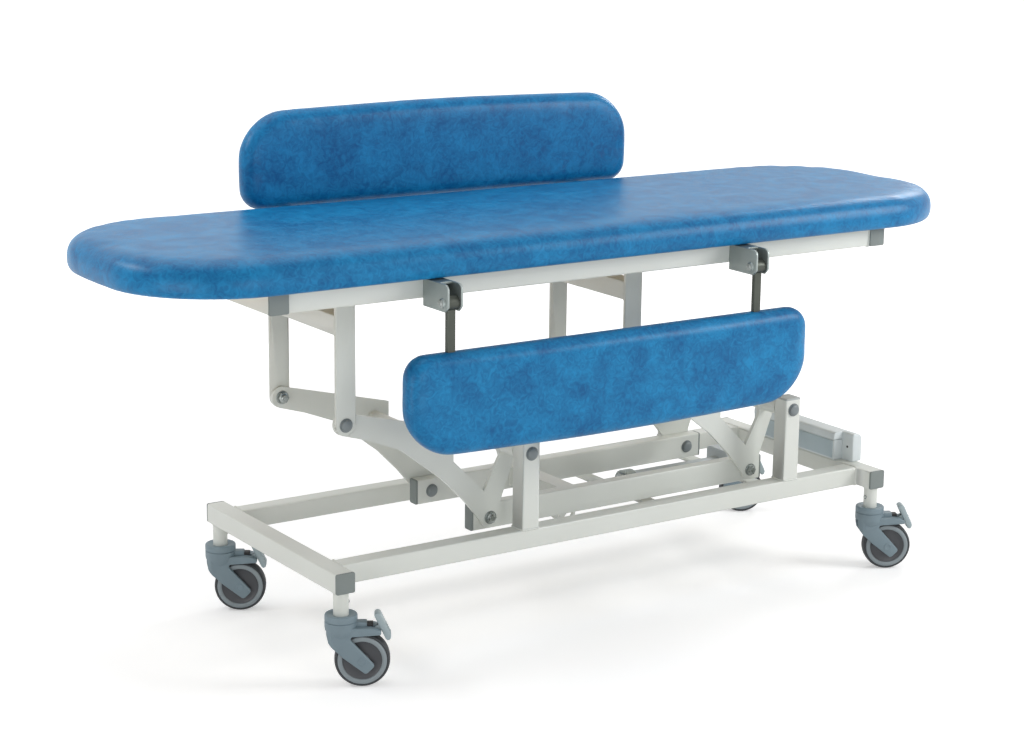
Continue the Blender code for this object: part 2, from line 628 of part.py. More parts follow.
def links():
    """The two link bars with their spreader and drive lug, their end caps and their bolts."""
    z = PIVOT_Z + C_Z
    left = PIVOTS_X["left"] + C_X - LINK_OVERHANG
    right = PIVOTS_X["right"] + C_X + LINK_OVERHANG
    mid_y = (LINK_OUTER_Y + LINK_INNER_Y) / 2
    half_y, half_z = LINK_THICKNESS / 2, LINK_HEIGHT / 2
    spread_top = z + half_z - SPREADER_TOP_DROP
    frame = block("link_frame", (SPREADER_X - SPREADER_WIDTH / 2, -mid_y, spread_top - SPREADER_WIDTH),
                  (SPREADER_X + SPREADER_WIDTH / 2, mid_y, spread_top))
    bores = [block("spreader_bore", (SPREADER_X - SPREADER_WIDTH / 2 + LINK_WALL, -mid_y,
                                     spread_top - SPREADER_WIDTH + LINK_WALL),
                   (SPREADER_X + SPREADER_WIDTH / 2 - LINK_WALL, mid_y, spread_top - LINK_WALL))]
    for sign in SIDES.values():
        y = sign * mid_y
        outline = shifted(rounded_rectangle(half_y, half_z, LINK_CORNER, 3), y, z)
        weld(frame, prism("link", "X", outline, left, right))
        wall = half_y - LINK_WALL
        height = half_z - LINK_WALL
        bores.append(block("link_bore", (left - PAST, y - wall, z - height),
                           (right + PAST, y + wall, z + height)))
        for x in PIVOTS_X.values():
            low, high = side_span(sign, LINK_INNER_Y - 0.01, LINK_OUTER_Y + 0.01)
            bores.append(rod("bolt_hole", "Y", BOLT_RADIUS + RUN, low, high, (x + C_X, 0, z)))
    weld(frame, *drive_lugs(spread_top - SPREADER_WIDTH / 2))
    cut(frame, *bores)
    finish(frame, "frame", (PIVOTS_X["left"] + C_X, 0, z))
    for side, sign in SIDES.items():
        for end, x in PIVOTS_X.items():
            link_cap(f"link_cap_{side}_{end}", sign * mid_y, z, left if end == "left" else right,
                     -1 if end == "left" else 1)
            bolt(f"link_bolt_{side}_{end}", sign, x + C_X, z, LINK_INNER_Y, PLATE_OUTER_Y + RUN)


def drive_lugs(spreader_z):
    """Two slotted plates on the spreader, astride the actuator's rod end."""
    slot_half = ROD_PIN_RADIUS + SLOT_PLAY
    half_width = slot_half + LUG_WALL
    top = ROD_Z + SLOT_RISE + ROD_PIN_RADIUS
    bottom = ROD_Z - SLOT_DROP - ROD_PIN_RADIUS
    root = SPREADER_X + SPREADER_WIDTH / 2 - LUG_ROOT
    left, right = ROD_PIN_X - half_width, ROD_PIN_X + half_width
    outline = [(root, spreader_z - LUG_ROOT_DROP), (left, bottom), (left + LUG_BEVEL, bottom - LUG_WALL),
               (right - LUG_BEVEL, bottom - LUG_WALL), (right, bottom), (right, top),
               (right - LUG_BEVEL, top + LUG_WALL), (root, top + LUG_WALL)]
    slot = rounded_rectangle(slot_half, (top - bottom) / 2, slot_half * 0.95)
    slot = shifted(slot, ROD_PIN_X, (top + bottom) / 2)
    lugs = []
    for sign in SIDES.values():
        low, high = side_span(sign, LUG_GAP / 2, LUG_GAP / 2 + LUG)
        plate = prism("lug", "Y", outline, low, high)
        lugs.append(cut(plate, prism("slot", "Y", slot, low - LUG, high + LUG)))
    return lugs


def link_cap(name, y, z, end_x, way):
    """A plastic cap in the end of a link bar."""
    half_y, half_z = LINK_THICKNESS / 2, LINK_HEIGHT / 2
    face = end_x + way * SEAT
    outline = shifted(rounded_rectangle(half_y, half_z, LINK_CORNER, 3), y, z)
    cap = prism(name, "X", outline, *sorted((face, face + way * LINK_CAP)))
    low, high = sorted((face - way * LINK_PLUG, face + way * LINK_CAP / 2))
    plug_y, plug_z = half_y - LINK_WALL - SEAT, half_z - LINK_WALL - SEAT
    weld(cap, block("plug", (low, y - plug_y, z - plug_z), (high, y + plug_y, z + plug_z)))
    return finish(cap, "cap", (PIVOTS_X["left"] + C_X, 0, z))


def actuator():
    """Linear drive under the links: motor and tube on the base's bars, and the sliding rod."""
    tube_end = ACTUATOR_FRONT_X + ACTUATOR_TUBE_LENGTH
    body = turned("actuator_body", "X", [
        (ROD_RADIUS + RUN, ACTUATOR_FRONT_X), (ACTUATOR_RADIUS - 0.003, ACTUATOR_FRONT_X),
        (ACTUATOR_RADIUS, ACTUATOR_FRONT_X + 0.003), (ACTUATOR_RADIUS, tube_end + 0.01),
        (0, tube_end + 0.01),
        (0, tube_end - 0.005), (ROD_RADIUS + RUN, tube_end - 0.005)], (0, 0, ROD_Z), PIN_STEPS)
    bottom = ROD_Z - ACTUATOR_RADIUS
    motor = rounded_rectangle(MOTOR_HALF_WIDTH, MOTOR_HEIGHT / 2, MOTOR_CORNER, 4)
    motor = shifted(motor, 0, bottom + MOTOR_HEIGHT / 2)
    weld(body, prism("motor", "X", motor, tube_end, tube_end + MOTOR_LENGTH))
    finish(body, "actuator")
    inner = ACTUATOR_RADIUS + 2 * SEAT
    outer = inner + SADDLE_WALL
    foot = outer + SADDLE_FOOT
    low = BASE_Z + SEAT
    outline = [(foot, low), (foot, low + SADDLE_WALL), (outer, low + SADDLE_WALL)]
    outline += arc((0, ROD_Z), outer, 0, 180, 10)
    outline += [(-outer, low + SADDLE_WALL), (-foot, low + SADDLE_WALL), (-foot, low), (-inner, low)]
    outline += arc((0, ROD_Z), inner, 180, 0, 16) + [(inner, low)]
    saddle = prism("actuator_saddle", "X", outline, BAR_X[0] - SADDLE_WIDTH / 2,
                   BAR_X[0] + SADDLE_WIDTH / 2)
    finish(saddle, "bracket")
    back = ROD_PIN_X + ROD_LENGTH
    ram = rod("actuator_rod", "X", ROD_RADIUS, ROD_PIN_X, back, (0, 0, ROD_Z), PIN_STEPS)
    weld(ram, rod("eye", "Y", ROD_EYE_RADIUS, -ROD_EYE_WIDTH / 2, ROD_EYE_WIDTH / 2,
                  (ROD_PIN_X, 0, ROD_Z)))
    pin_half = LUG_GAP / 2 + LUG + 0.003
    weld(ram, rod("rod_pin", "Y", ROD_PIN_RADIUS, -pin_half, pin_half, (ROD_PIN_X, 0, ROD_Z)))
    finish(ram, "steel", (ROD_PIN_X, 0, ROD_Z))


def upper():
    """Upper frame with its legs and braces, its caps, and the bolts in the legs' feet."""
    frame, bores = frame_tubes("upper_frame", UPPER_LEFT_X, UPPER_RIGHT_X, RAIL_Y,
                               UPPER_CROSS_HALF, UPPER_Z)
    z = UPPER_Z + TUBE / 2
    rail_inner = RAIL_Y - TUBE / 2
    foot_z = PIVOT_Z + A_Z
    for pivot_x in PIVOTS_X.values():
        x = pivot_x + A_X
        weld(frame, tube("carrier", "Y", (x, z), -rail_inner - TUBE_CORNER, rail_inner + TUBE_CORNER))
        bores.append(bore("carrier_bore", "Y", (x, z), -rail_inner + TUBE_WALL, rail_inner - TUBE_WALL))
        vent_half = rail_inner + 3 * TUBE_WALL
        bores.append(rod("vent", "Y", VENT / 2, -vent_half, vent_half, (x, 0, z), 12))
        for sign in SIDES.values():
            half = LEG_WIDTH / 2
            outline = [(x + half, UPPER_Z + TUBE_CORNER), (x - half, UPPER_Z + TUBE_CORNER)]
            outline += arc((x, foot_z), half, 180, 360, 10)
            low, high = side_span(sign, LEG_INNER_Y, LEG_INNER_Y + LEG)
            weld(frame, prism("leg", "Y", outline, low, high))
            bores.append(rod("bolt_hole", "Y", BOLT_RADIUS + RUN, low - LEG, high + LEG, (x, 0, foot_z)))
        brace_z = BRACE_Z + TUBE / 2
        weld(frame, tube("brace", "Y", (x, brace_z), -LEG_INNER_Y - LEG / 2, LEG_INNER_Y + LEG / 2))
    finish(cut(frame, *bores), "frame", (PIVOTS_X["left"] + A_X, 0, foot_z))
    ends = {"left": UPPER_LEFT_X, "right": UPPER_RIGHT_X}
    for side, sign in SIDES.items():
        for end, x in ends.items():
            end_cap(f"upper_cap_{side}_{end}", x, sign, UPPER_CROSS_HALF, UPPER_Z)
        for end, pivot_x in PIVOTS_X.items():
            bolt(f"leg_bolt_{side}_{end}", sign, pivot_x + A_X, foot_z, PLATE_INNER_Y + RUN,
                 LEG_INNER_Y + LEG + SEAT)


def padded(name, axis, length, width, corner, upper_corner, levels):
    """A soft slab lofted through outlines: levels give (inset of the outline, height)."""
    bm = bmesh.new()
    rings = []
    for inset, height in levels:
        radius = max(corner - inset, PAD_LEAST_CORNER)
        upper_radius = max(upper_corner - inset, PAD_LEAST_CORNER)
        outline = rounded_rectangle(length / 2 - inset, width / 2 - inset, radius, upper=upper_radius)
        rings.append([bm.verts.new(in_space(axis, u, v, height)) for u, v in outline])
    for ring, following in zip(rings, rings[1:]):
        count = len(ring)
        for i in range(count):
            j = (i + 1) % count
            bm.faces.new((ring[i], ring[j], following[j], following[i]))
    bm.faces.new(rings[0])
    bm.faces.new(rings[-1])
    return solid(name, bm, True)


def bullnose(thickness, edge, crown, steps=5):
    """Levels of a pad's upper half: round edge, then a soft crown to the middle."""
    half = thickness / 2
    levels = []
    for i in range(steps + 1):
        angle = math.radians(90 * i / steps)
        levels.append((edge * (1 - math.cos(angle)), (half - crown) * math.sin(angle)))
    for share in (0.4, 1.0):
        levels.append((edge * (1 + 1.4 * share), half - crown * (1 - share) ** 2))
    return levels


def top():
    """Top pad with a soft crown, wrapped round the board that lies on the rails."""
    upper_half = bullnose(TOP_THICKNESS, TOP_EDGE, TOP_CROWN)
    middle = TOP_Z + TOP_THICKNESS / 2
    lower_half = []
    for angle in (90, 60, 30, 0):
        turn = math.radians(angle)
        lower_half.append((TOP_LOW_EDGE * (1 - math.cos(turn)),
                           TOP_LOW_EDGE * (1 - math.sin(turn)) - TOP_THICKNESS / 2))
    levels = [(inset, middle + height) for inset, height in lower_half + upper_half]
    pad = padded("top_pad", "Z", TOP_LENGTH, TOP_WIDTH, TOP_CORNER, TOP_CORNER, levels)
    half_x, half_y = TOP_LENGTH / 2 - BOARD_INSET, TOP_WIDTH / 2 - BOARD_INSET
    corner = TOP_CORNER - BOARD_INSET
    pocket = rounded_rectangle(half_x + SEAT, half_y + SEAT, corner + SEAT)
    cut(pad, prism("pocket", "Z", pocket, TOP_Z - PAST, TOP_Z + BOARD_THICKNESS + SEAT))
    finish(pad, "vinyl", (PIVOTS_X["left"] + A_X, 0, PIVOT_Z + A_Z))
    outline = rounded_rectangle(half_x, half_y, corner)
    board = prism("top_board", "Z", outline, TOP_Z, TOP_Z + BOARD_THICKNESS)
    finish(board, "board", (PIVOTS_X["left"] + A_X, 0, PIVOT_Z + A_Z))


def bracket_outline(root, top_z):
    """Side view of a bracket's cheek: distance from the table's middle, and Z."""
    return [(root, BRACKET_BOTTOM), (BRACKET_TIP_Y - BRACKET_BEVEL, BRACKET_BOTTOM),
            (BRACKET_TIP_Y, BRACKET_BOTTOM + BRACKET_BEVEL),
            *arc((BRACKET_TIP_Y - BRACKET_ROUND, top_z - BRACKET_ROUND), BRACKET_ROUND, 0, 90, 4),
            (root, top_z)]


def hinge_brackets():
    """Pressed brackets on the rails, each a clevis with its hinge pin riveted in."""
    top_z = UPPER_TOP - BRACKET_TOP_DROP
    half = BRACKET_WIDTH / 2
    root = RAIL_OUTER_Y + SEAT
    bridge_end = HINGE_Y - ARM_EYE_RADIUS - BRIDGE_GAP
    pin_end = half + HINGE_HEAD
    side_profile = [(0, pin_end), (HINGE_HEAD_RADIUS * 0.7, pin_end), (HINGE_HEAD_RADIUS, half + 0.002),
                    (HINGE_HEAD_RADIUS, half - 0.001), (HINGE_PIN_RADIUS, half - 0.001)]
    pin_profile = [(r, -h) for r, h in side_profile] + list(reversed(side_profile))
    for side, sign in SIDES.items():
        cheek = [(sign * y, z) for y, z in bracket_outline(root, top_z)]
        for end, x in zip(("left", "right"), BRACKET_X):
            low, high = side_span(sign, root, root + BRACKET_PLATE)
            bracket = block(f"hinge_bracket_{side}_{end}", (x - half, low, BRACKET_BOTTOM),
                            (x + half, high, top_z))
            for face in (x - half, x + half - BRACKET_PLATE):
                weld(bracket, prism("cheek", "X", cheek, face, face + BRACKET_PLATE))
            low, high = side_span(sign, root, bridge_end)
            weld(bracket, block("bridge", (x - half, low, top_z - BRACKET_PLATE), (x + half, high, top_z)))
            weld(bracket, turned("pin", "X", pin_profile, (x, sign * HINGE_Y, HINGE_Z), PIN_STEPS))
            finish(bracket, "bracket")


def side_pads():
    """Side pads and the arms that carry them: the near one hangs, the far one stands."""
    levels = bullnose(SIDE_PAD_THICKNESS, SIDE_PAD_THICKNESS / 2, SIDE_PAD_CROWN)
    levels = [(inset, -height) for inset, height in reversed(levels[1:])] + levels
    edge = SIDE_PAD_REACH - SIDE_PAD_HEIGHT / 2
    eye_half = BRACKET_WIDTH / 2 - BRACKET_PLATE - RUN
    for side, sign in SIDES.items():
        y = sign * HINGE_Y
        pad_x = SIDE_PAD_X[side]
        corners = [SIDE_PAD_CORNER, SIDE_PAD_HINGE_CORNER][::-sign]
        pad = padded(f"side_pad_{side}", "Y", SIDE_PAD_LENGTH, SIDE_PAD_HEIGHT, *corners, levels)
        pad.data.transform(Matrix.Translation((pad_x, y, HINGE_Z + sign * SIDE_PAD_REACH)))
        for end, x in zip(("left", "right"), BRACKET_X):
            cut(pad, arm_bar("pocket", x, y, sign, SEAT, 0.5 * edge, edge + ARM_IN_PAD + SEAT))
            arm = arm_bar(f"side_arm_{side}_{end}", x, y, sign, 0, 0, edge + ARM_IN_PAD)
            weld(arm, rod("eye", "X", ARM_EYE_RADIUS, -eye_half, eye_half, (x, y, HINGE_Z)))
            cut(arm, rod("pin_hole", "X", HINGE_PIN_RADIUS + RUN, -BRACKET_WIDTH, BRACKET_WIDTH,
                         (x, y, HINGE_Z)))
            finish(arm, "arm", (x, y, HINGE_Z))
        finish(pad, "vinyl", (pad_x, y, HINGE_Z))


def arm_bar(name, x, y, sign, extra, start, reach):
    """The flat bar of a side arm, or with extra all round it the pocket that takes it."""
    half_x, half_y = ARM_WIDTH / 2 + extra, ARM_THICKNESS / 2 + extra
    low, high = sorted((HINGE_Z + sign * start, HINGE_Z + sign * reach))
    outline = shifted(rounded_rectangle(half_x, half_y, ARM_CORNER + extra, 3), x, y)
    return prism(name, "Z", outline, low, high)


def box_outline(left, right, bottom, top):
    """Section of the control box: three small corners and a large round one at the upper right."""
    small, large = BOX_EDGE, BOX_ROUND
    return (arc((right - large, top - large), large, 0, 90)
            + arc((left + small, top - small), small, 90, 180, 3)
            + arc((left + small, bottom + small), small, 180, 270, 3)
            + arc((right - small, bottom + small), small, 270, 360, 3))


def control_box():
    """Moulded control box on the right cross tube, with a slimmer cap at its near end."""
    bottom = BASE_TOP + SEAT
    top_z = bottom + BOX_HEIGHT
    right = BOX_X + BOX_DEPTH
    body = prism("control_box", "Y", box_outline(BOX_X, right, bottom, top_z), BOX_NEAR_Y,
                 BOX_NEAR_Y + BOX_LENGTH)
    low, high = BOX_NEAR_Y + BOX_PANEL_INSET, BOX_NEAR_Y + BOX_LENGTH - BOX_PANEL_INSET
    cut(body, block("panel", (BOX_X - BOX_EDGE, low, bottom + BOX_PANEL_EDGE),
                    (BOX_X + BOX_PANEL, high, top_z - BOX_PANEL_EDGE)))
    finish(body, "box")
    left = right - BOX_CAP_DEPTH
    face = BOX_NEAR_Y - SEAT
    cap = prism("control_box_cap", "Y", box_outline(left, right, bottom, top_z), face - BOX_CAP_LENGTH, face)
    weld(cap, rod("screw", "X", BOX_SCREW_RADIUS, left - BOX_SCREW_HEAD, left + BOX_SCREW_RADIUS,
                  (0, face - BOX_CAP_LENGTH / 2, bottom + BOX_HEIGHT / 2)))
    finish(cap, "box")


def main():
    clear_scene()
    base()
    castors()
    cranks()
    links()
    actuator()
    upper()
    top()
    hinge_brackets()
    side_pads()
    control_box()


main()
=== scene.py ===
"""Looks of the electric changing table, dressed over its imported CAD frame.

Metres, +Z up, +X along the table, as in the CAD.  The table stands as photographed: the lift part
way up, the near side pad hanging and the far one raised.
"""

import json
import math

import bmesh
import bpy
from mathutils import Matrix, Vector

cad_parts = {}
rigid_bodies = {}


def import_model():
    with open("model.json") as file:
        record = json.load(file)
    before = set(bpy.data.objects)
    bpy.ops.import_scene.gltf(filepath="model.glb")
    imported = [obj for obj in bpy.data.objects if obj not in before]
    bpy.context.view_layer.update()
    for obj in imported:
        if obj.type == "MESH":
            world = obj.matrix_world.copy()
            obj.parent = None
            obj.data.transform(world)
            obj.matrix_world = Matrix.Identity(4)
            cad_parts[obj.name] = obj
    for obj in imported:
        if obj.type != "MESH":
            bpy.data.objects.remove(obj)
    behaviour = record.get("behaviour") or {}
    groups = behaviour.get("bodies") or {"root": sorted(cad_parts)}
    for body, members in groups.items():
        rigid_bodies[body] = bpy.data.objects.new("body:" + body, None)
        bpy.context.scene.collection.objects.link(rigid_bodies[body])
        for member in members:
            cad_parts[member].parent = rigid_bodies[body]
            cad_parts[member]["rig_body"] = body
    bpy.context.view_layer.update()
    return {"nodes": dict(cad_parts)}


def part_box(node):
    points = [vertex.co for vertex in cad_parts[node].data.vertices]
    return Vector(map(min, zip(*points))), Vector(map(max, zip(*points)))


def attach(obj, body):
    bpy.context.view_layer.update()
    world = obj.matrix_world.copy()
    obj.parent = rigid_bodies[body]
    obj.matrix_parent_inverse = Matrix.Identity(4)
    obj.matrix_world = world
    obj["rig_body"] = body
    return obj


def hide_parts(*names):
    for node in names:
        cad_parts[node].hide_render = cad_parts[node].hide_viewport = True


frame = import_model()
nodes = frame["nodes"]

# Places and sizes that repeat the CAD's
TUBE = 0.038
TUBE_CORNER = 0.0035
BASE_Z = 0.1757
BASE_TOP = BASE_Z + TUBE
LONG_TUBE_Y = 0.1952
POST_TOP = 0.3823
CASTOR_X = {"left": -0.562, "right": 0.703}
CASTOR_Y = 0.2404
PIVOT_X = {"left": -0.1377, "right": 0.5036}
PIVOT_Z = 0.3620
LEG_OFFSET = (-0.3499, 0.0831)
LINK_OFFSET = (-0.0335, -0.1427)
PLATE_INNER_Y = 0.116
PLATE_OUTER_Y = 0.124
LEG_INNER_Y = 0.1243
LEG = 0.006
LEG_WIDTH = 0.040
LINK_INNER_Y = 0.0897
SPREADER_X = 0.0335
SPREADER_RISE = 0.002  # above the link bolts
SLEEVE_RADIUS = 0.0190  # round a crank's pivot
TORQUE_OFFSET = (-0.150, 0.014)
TORQUE_RADIUS = 0.0170
UPPER_X = {"left": -0.6743, "right": 0.6910}
UPPER_Z = 0.6873
RAIL_OUTER_Y = 0.2315
BRACE_Z = 0.6303
HINGE_Y = 0.298
HINGE_Z = 0.6898
SIDES = {"near": -1, "far": 1}
ENDS = ("left", "right")

# Castor, about its stem's axis
SWIVEL = math.radians(-30)
STEM_RADIUS = 0.0138
COLLAR_RADIUS = 0.0296
COLLAR_TOP = 0.135
COLLAR_SEAM = 0.1223
TRAIL = 0.0375
AXLE_Z = 0.050
AXLE_RADIUS = 0.0049
WHEEL_RADIUS = 0.050
WHEEL_HALF = 0.016
RIM_RADIUS = 0.0442
HUB_RADIUS = 0.0355
FORK_INNER = 0.0175
FORK_OUTER = 0.0235
PEDAL_X, PEDAL_Z = 0.064, 0.1077
PEDAL_LEAN = math.radians(65)
PEDAL_HALF_LENGTH = 0.0276
BLOCK_X, BLOCK_TOP = 0.0463, 0.1205
GAP_BLOCK_X, GAP_BLOCK_LOW, GAP_BLOCK_TOP = 0.0572, 0.1105, 0.1178

# Fits and steps of the looks alone
SEAT_GAP = 0.0002    # keeps a fastener off the face that it sits on
BEAD_RADIUS = 0.0021
BEAD_STEP = 0.0024   # between the points of a weld bead's path
ON_PLATE = 0.0004    # how far a bead's middle stands off a plate
ON_TUBE = 0.0006     # the same on a tube
CAP_HEAD = 0.0045    # thickness of a tube cap's head
LINK_CAP_HEAD = 0.004
CAP_WALL = 0.0024    # tube wall round a cap's plug
LID = 0.0035         # thickness of a post's cap
NUT_ACROSS = 0.019   # across a nut's flats
SAME_PLANE = 1e-5    # points this close to a plane lie in it
ROUND = 64           # facets round a wheel or collar
PIN_ROUND = 40       # facets round a bolt or pin
WELD_ROUND = 36      # corners of a round weld's path
CLOTH_FRAMES = 20    # frames that a cover's pressure works for
SMOOTH_ANGLE = 35    # degrees under which an edge is shaded smooth
SOFT_ANGLE = 60      # the same on covers and weld beads
AXES = {"X": (1, 0, 0), "Y": (0, 1, 0), "Z": (0, 0, 1)}


# Modelling helpers

def deselect():
    bpy.ops.object.select_all(action="DESELECT")


def edit(piece):
    """Go into edit mode on one piece, with all of it selected."""
    deselect()
    piece.select_set(True)
    bpy.context.view_layer.objects.active = piece
    bpy.ops.object.mode_set(mode="EDIT")
    bpy.ops.mesh.select_all(action="SELECT")


def leave():
    bpy.ops.object.mode_set(mode="OBJECT")


def pick(piece, kind, test):
    """In edit mode, select the verts, edges or faces that pass a test."""
    bpy.ops.mesh.select_all(action="DESELECT")
    modes = [kind == name for name in ("verts", "edges", "faces")]
    bpy.context.tool_settings.mesh_select_mode = modes
    bm = bmesh.from_edit_mesh(piece.data)
    for item in getattr(bm, kind):
        item.select_set(bool(test(item)))
    bm.select_flush_mode()
    bmesh.update_edit_mesh(piece.data)


def outward():
    """In edit mode, merge doubles, drop loose bits and turn the faces outwards."""
    bpy.ops.mesh.select_all(action="SELECT")
    bpy.ops.mesh.remove_doubles(threshold=2e-6)
    bpy.ops.mesh.dissolve_degenerate(threshold=1e-7)
    bpy.ops.mesh.delete_loose(use_verts=True, use_edges=True, use_faces=False)
    bpy.ops.mesh.select_all(action="SELECT")
    bpy.ops.mesh.normals_make_consistent(inside=False)


def in_space(axis, u, v, along):
    """A point from its two coordinates across an axis and the one along it."""
    if axis == "X":
        return (along, u, v)
    if axis == "Y":
        return (u, along, v)
    return (u, v, along)


def arc(centre, radius, start, end, steps):
    """Points on an arc, with the angles in degrees."""
    turns = [math.radians(start + (end - start) * i / steps) for i in range(steps + 1)]
    return [(centre[0] + radius * math.cos(a), centre[1] + radius * math.sin(a)) for a in turns]


def rounded(half_u, half_v, radius, steps, upper=None):
    """A rounded rectangle about the origin; its upper corners can have another radius."""
    upper = radius if upper is None else upper
    u, v = half_u - radius, half_v - radius
    upper_u, upper_v = half_u - upper, half_v - upper
    return (arc((upper_u, upper_v), upper, 0, 90, steps)
            + arc((-upper_u, upper_v), upper, 90, 180, steps)
            + arc((-u, -v), radius, 180, 270, steps) + arc((u, -v), radius, 270, 360, steps))


def shifted(outline, du, dv):
    return [(u + du, v + dv) for u, v in outline]


def spaced(outline, step):
    """The same outline with points added, so that none are much further apart than a step."""
    points = []
    for (u, v), (p, q) in zip(outline, outline[1:] + outline[:1]):
        count = max(1, round(math.hypot(p - u, q - v) / step))
        points += [(u + (p - u) * i / count, v + (q - v) * i / count) for i in range(count)]
    return points


def bowed_ends(half_u, half_v, radius, bow):
    """A rounded rectangle whose two ends bow outwards to a half length."""
    points = []
    for u, v in spaced(rounded(half_u - bow, half_v, radius, 24), 0.02):
        if abs(u) > half_u - bow - radius:
            u += math.copysign(bow * (1 - (v / half_v) ** 2), u)
        points.append((u, v))
    return points


def plate(name, axis, outline, low, high):
    """An outline, shaped from a filled circle of as many points, extruded along an axis."""
    deselect()
    bpy.ops.mesh.primitive_circle_add(vertices=len(outline), fill_type="NGON")
    piece = bpy.context.object
    piece.name = name
    for vertex, (u, v) in zip(piece.data.vertices, outline):
        vertex.co = in_space(axis, u, v, low)
    edit(piece)
    way = in_space(axis, 0, 0, high - low)
    bpy.ops.mesh.extrude_region_move(TRANSFORM_OT_translate={"value": way})
    outward()
    leave()
    return piece


def slab(name, low, high):
    """A box between two corners, from a cube at its size and place."""
    deselect()
    low, high = Vector(low), Vector(high)
    bpy.ops.mesh.primitive_cube_add(size=1, location=(low + high) / 2, scale=high - low)
    bpy.ops.object.transform_apply(location=True, rotation=True, scale=True)
    piece = bpy.context.object
    piece.name = name
    return piece


def turned(name, axis, profile, centre=(0, 0, 0), steps=PIN_ROUND):
    """A closed profile of (radius, place along the axis), spun about the axis."""
    deselect()
    bpy.ops.mesh.primitive_circle_add(vertices=len(profile), fill_type="NOTHING")
    piece = bpy.context.object
    piece.name = name
    for vertex, (radius, along) in zip(piece.data.vertices, profile):
        vertex.co = Vector(in_space(axis, radius, 0, along)) + Vector(centre)
    edit(piece)
    bpy.ops.mesh.spin(steps=steps, angle=math.tau, center=centre, axis=AXES[axis])
    outward()
    leave()
    return piece


def bevelled(piece, test, width, segments):
    """Round the edges that pass a test."""
    edit(piece)
    pick(piece, "edges", test)
    bpy.ops.mesh.bevel(offset=width, segments=segments, affect="EDGES", clamp_overlap=True)
    outward()
    leave()
    return piece


def at(axis, place):
    """A test for edges that lie in a plane across an axis."""
    number = "XYZ".index(axis)
    return lambda edge: all(abs(v.co[number] - place) < SAME_PLANE for v in edge.verts)


def sharp(edge):
    """A test for edges where two faces meet at more than about 40 degrees."""
    return len(edge.link_faces) == 2 and edge.calc_face_angle(0) > 0.7


def modified(piece, kind, **settings):
    """Add a modifier and apply it."""
    step = piece.modifiers.new(kind.title(), kind)
    for name, value in settings.items():
        setattr(step, name, value)
    deselect()
    piece.select_set(True)
    bpy.context.view_layer.objects.active = piece
    bpy.ops.object.modifier_apply(modifier=step.name)
    return piece


def boolean(piece, tool, operation):
    modified(piece, "BOOLEAN", operation=operation, solver="EXACT", object=tool)
    bpy.data.objects.remove(tool, do_unlink=True)
    return piece


def joined(name, pieces):
    """Several pieces made one object."""
    deselect()
    for piece in pieces:
        piece.select_set(True)
    bpy.context.view_layer.objects.active = pieces[0]
    bpy.ops.object.join()
    pieces[0].name = name
    return pieces[0]


def copied(piece, name, matrix):
    """Another piece of the same shape, with its own mesh, set in place in its mesh."""
    twin = bpy.data.objects.new(name, piece.data.copy())
    bpy.context.scene.collection.objects.link(twin)
    twin.data.transform(matrix)
    return twin


def dropped(*pieces):
    for piece in pieces:
        bpy.data.objects.remove(piece, do_unlink=True)


def finished(piece, material, body, replaced=(), angle=SMOOTH_ANGLE):
    """Smooth a piece, give it its material and set it on its body."""
    deselect()
    piece.select_set(True)
    bpy.context.view_layer.objects.active = piece
    bpy.ops.object.shade_smooth_by_angle(angle=math.radians(angle))
    if not piece.data.materials:
        piece.data.materials.append(material)
    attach(piece, body)
    if replaced:
        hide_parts(*replaced)
    return piece


def body_of(node):
    return nodes[node]["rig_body"]


def refined(node, material, width=0.0):
    """A CAD solid with its doubles merged, its arrises eased by a width and its shading evened."""
    piece = nodes[node].copy()
    piece.data = nodes[node].data.copy()
    piece.parent = None
    piece.name = node + "_finish"
    for key in list(piece.keys()):
        del piece[key]
    bpy.context.scene.collection.objects.link(piece)
    piece.data.materials.clear()
    edit(piece)
    bpy.ops.mesh.remove_doubles(threshold=2e-6)
    if width:
        bpy.ops.mesh.dissolve_limited(angle_limit=math.radians(0.5))
    leave()
    if width:
        modified(piece, "BEVEL", width=width, segments=2, limit_method="ANGLE",
                 angle_limit=math.radians(50), use_clamp_overlap=True)
    finished(piece, material, body_of(node), (node,))
    modified(piece, "WEIGHTED_NORMAL", keep_sharp=True)
    return piece


# Materials

def linear(code):
    """Linear RGBA of an sRGB hex colour."""
    parts = [int(code[i:i + 2], 16) / 255 for i in (1, 3, 5)]
    return (*[c / 12.92 if c <= 0.04045 else ((c + 0.055) / 1.055) ** 2.4 for c in parts], 1.0)


def add(tree, kind, settings, inputs):
    """Add a shader node; an input is a value, or a socket to link from."""
    item = tree.nodes.new("ShaderNode" + kind)
    for name, value in settings.items():
        setattr(item, name, value)
    for key, value in inputs.items():
        if isinstance(value, bpy.types.NodeSocket):
            tree.links.new(value, item.inputs[key])
        else:
            item.inputs[key].default_value = value
    return item


def started(name):
    """A new material: its node tree, its shader and the object's own coordinates."""
    material = bpy.data.materials.new(name)
    material.use_nodes = True
    tree = material.node_tree
    coords = add(tree, "TexCoord", {}, {}).outputs["Object"]
    return material, tree, tree.nodes["Principled BSDF"], coords


def per_mm(size):
    """Texture scale for features of a size in millimetres."""
    return 1000.0 / size


def noise(tree, coords, size, detail, **more):
    """Noise with features of a size in millimetres."""
    inputs = {"Vector": coords, "Scale": per_mm(size), "Detail": detail}
    return add(tree, "TexNoise", {}, inputs | more)


def blend(tree, factor, low, high):
    """Two hex colours mixed by the first output of a node."""
    return add(tree, "Mix", {"data_type": "RGBA"}, {
        0: factor.outputs[0], 6: linear(low), 7: linear(high)})


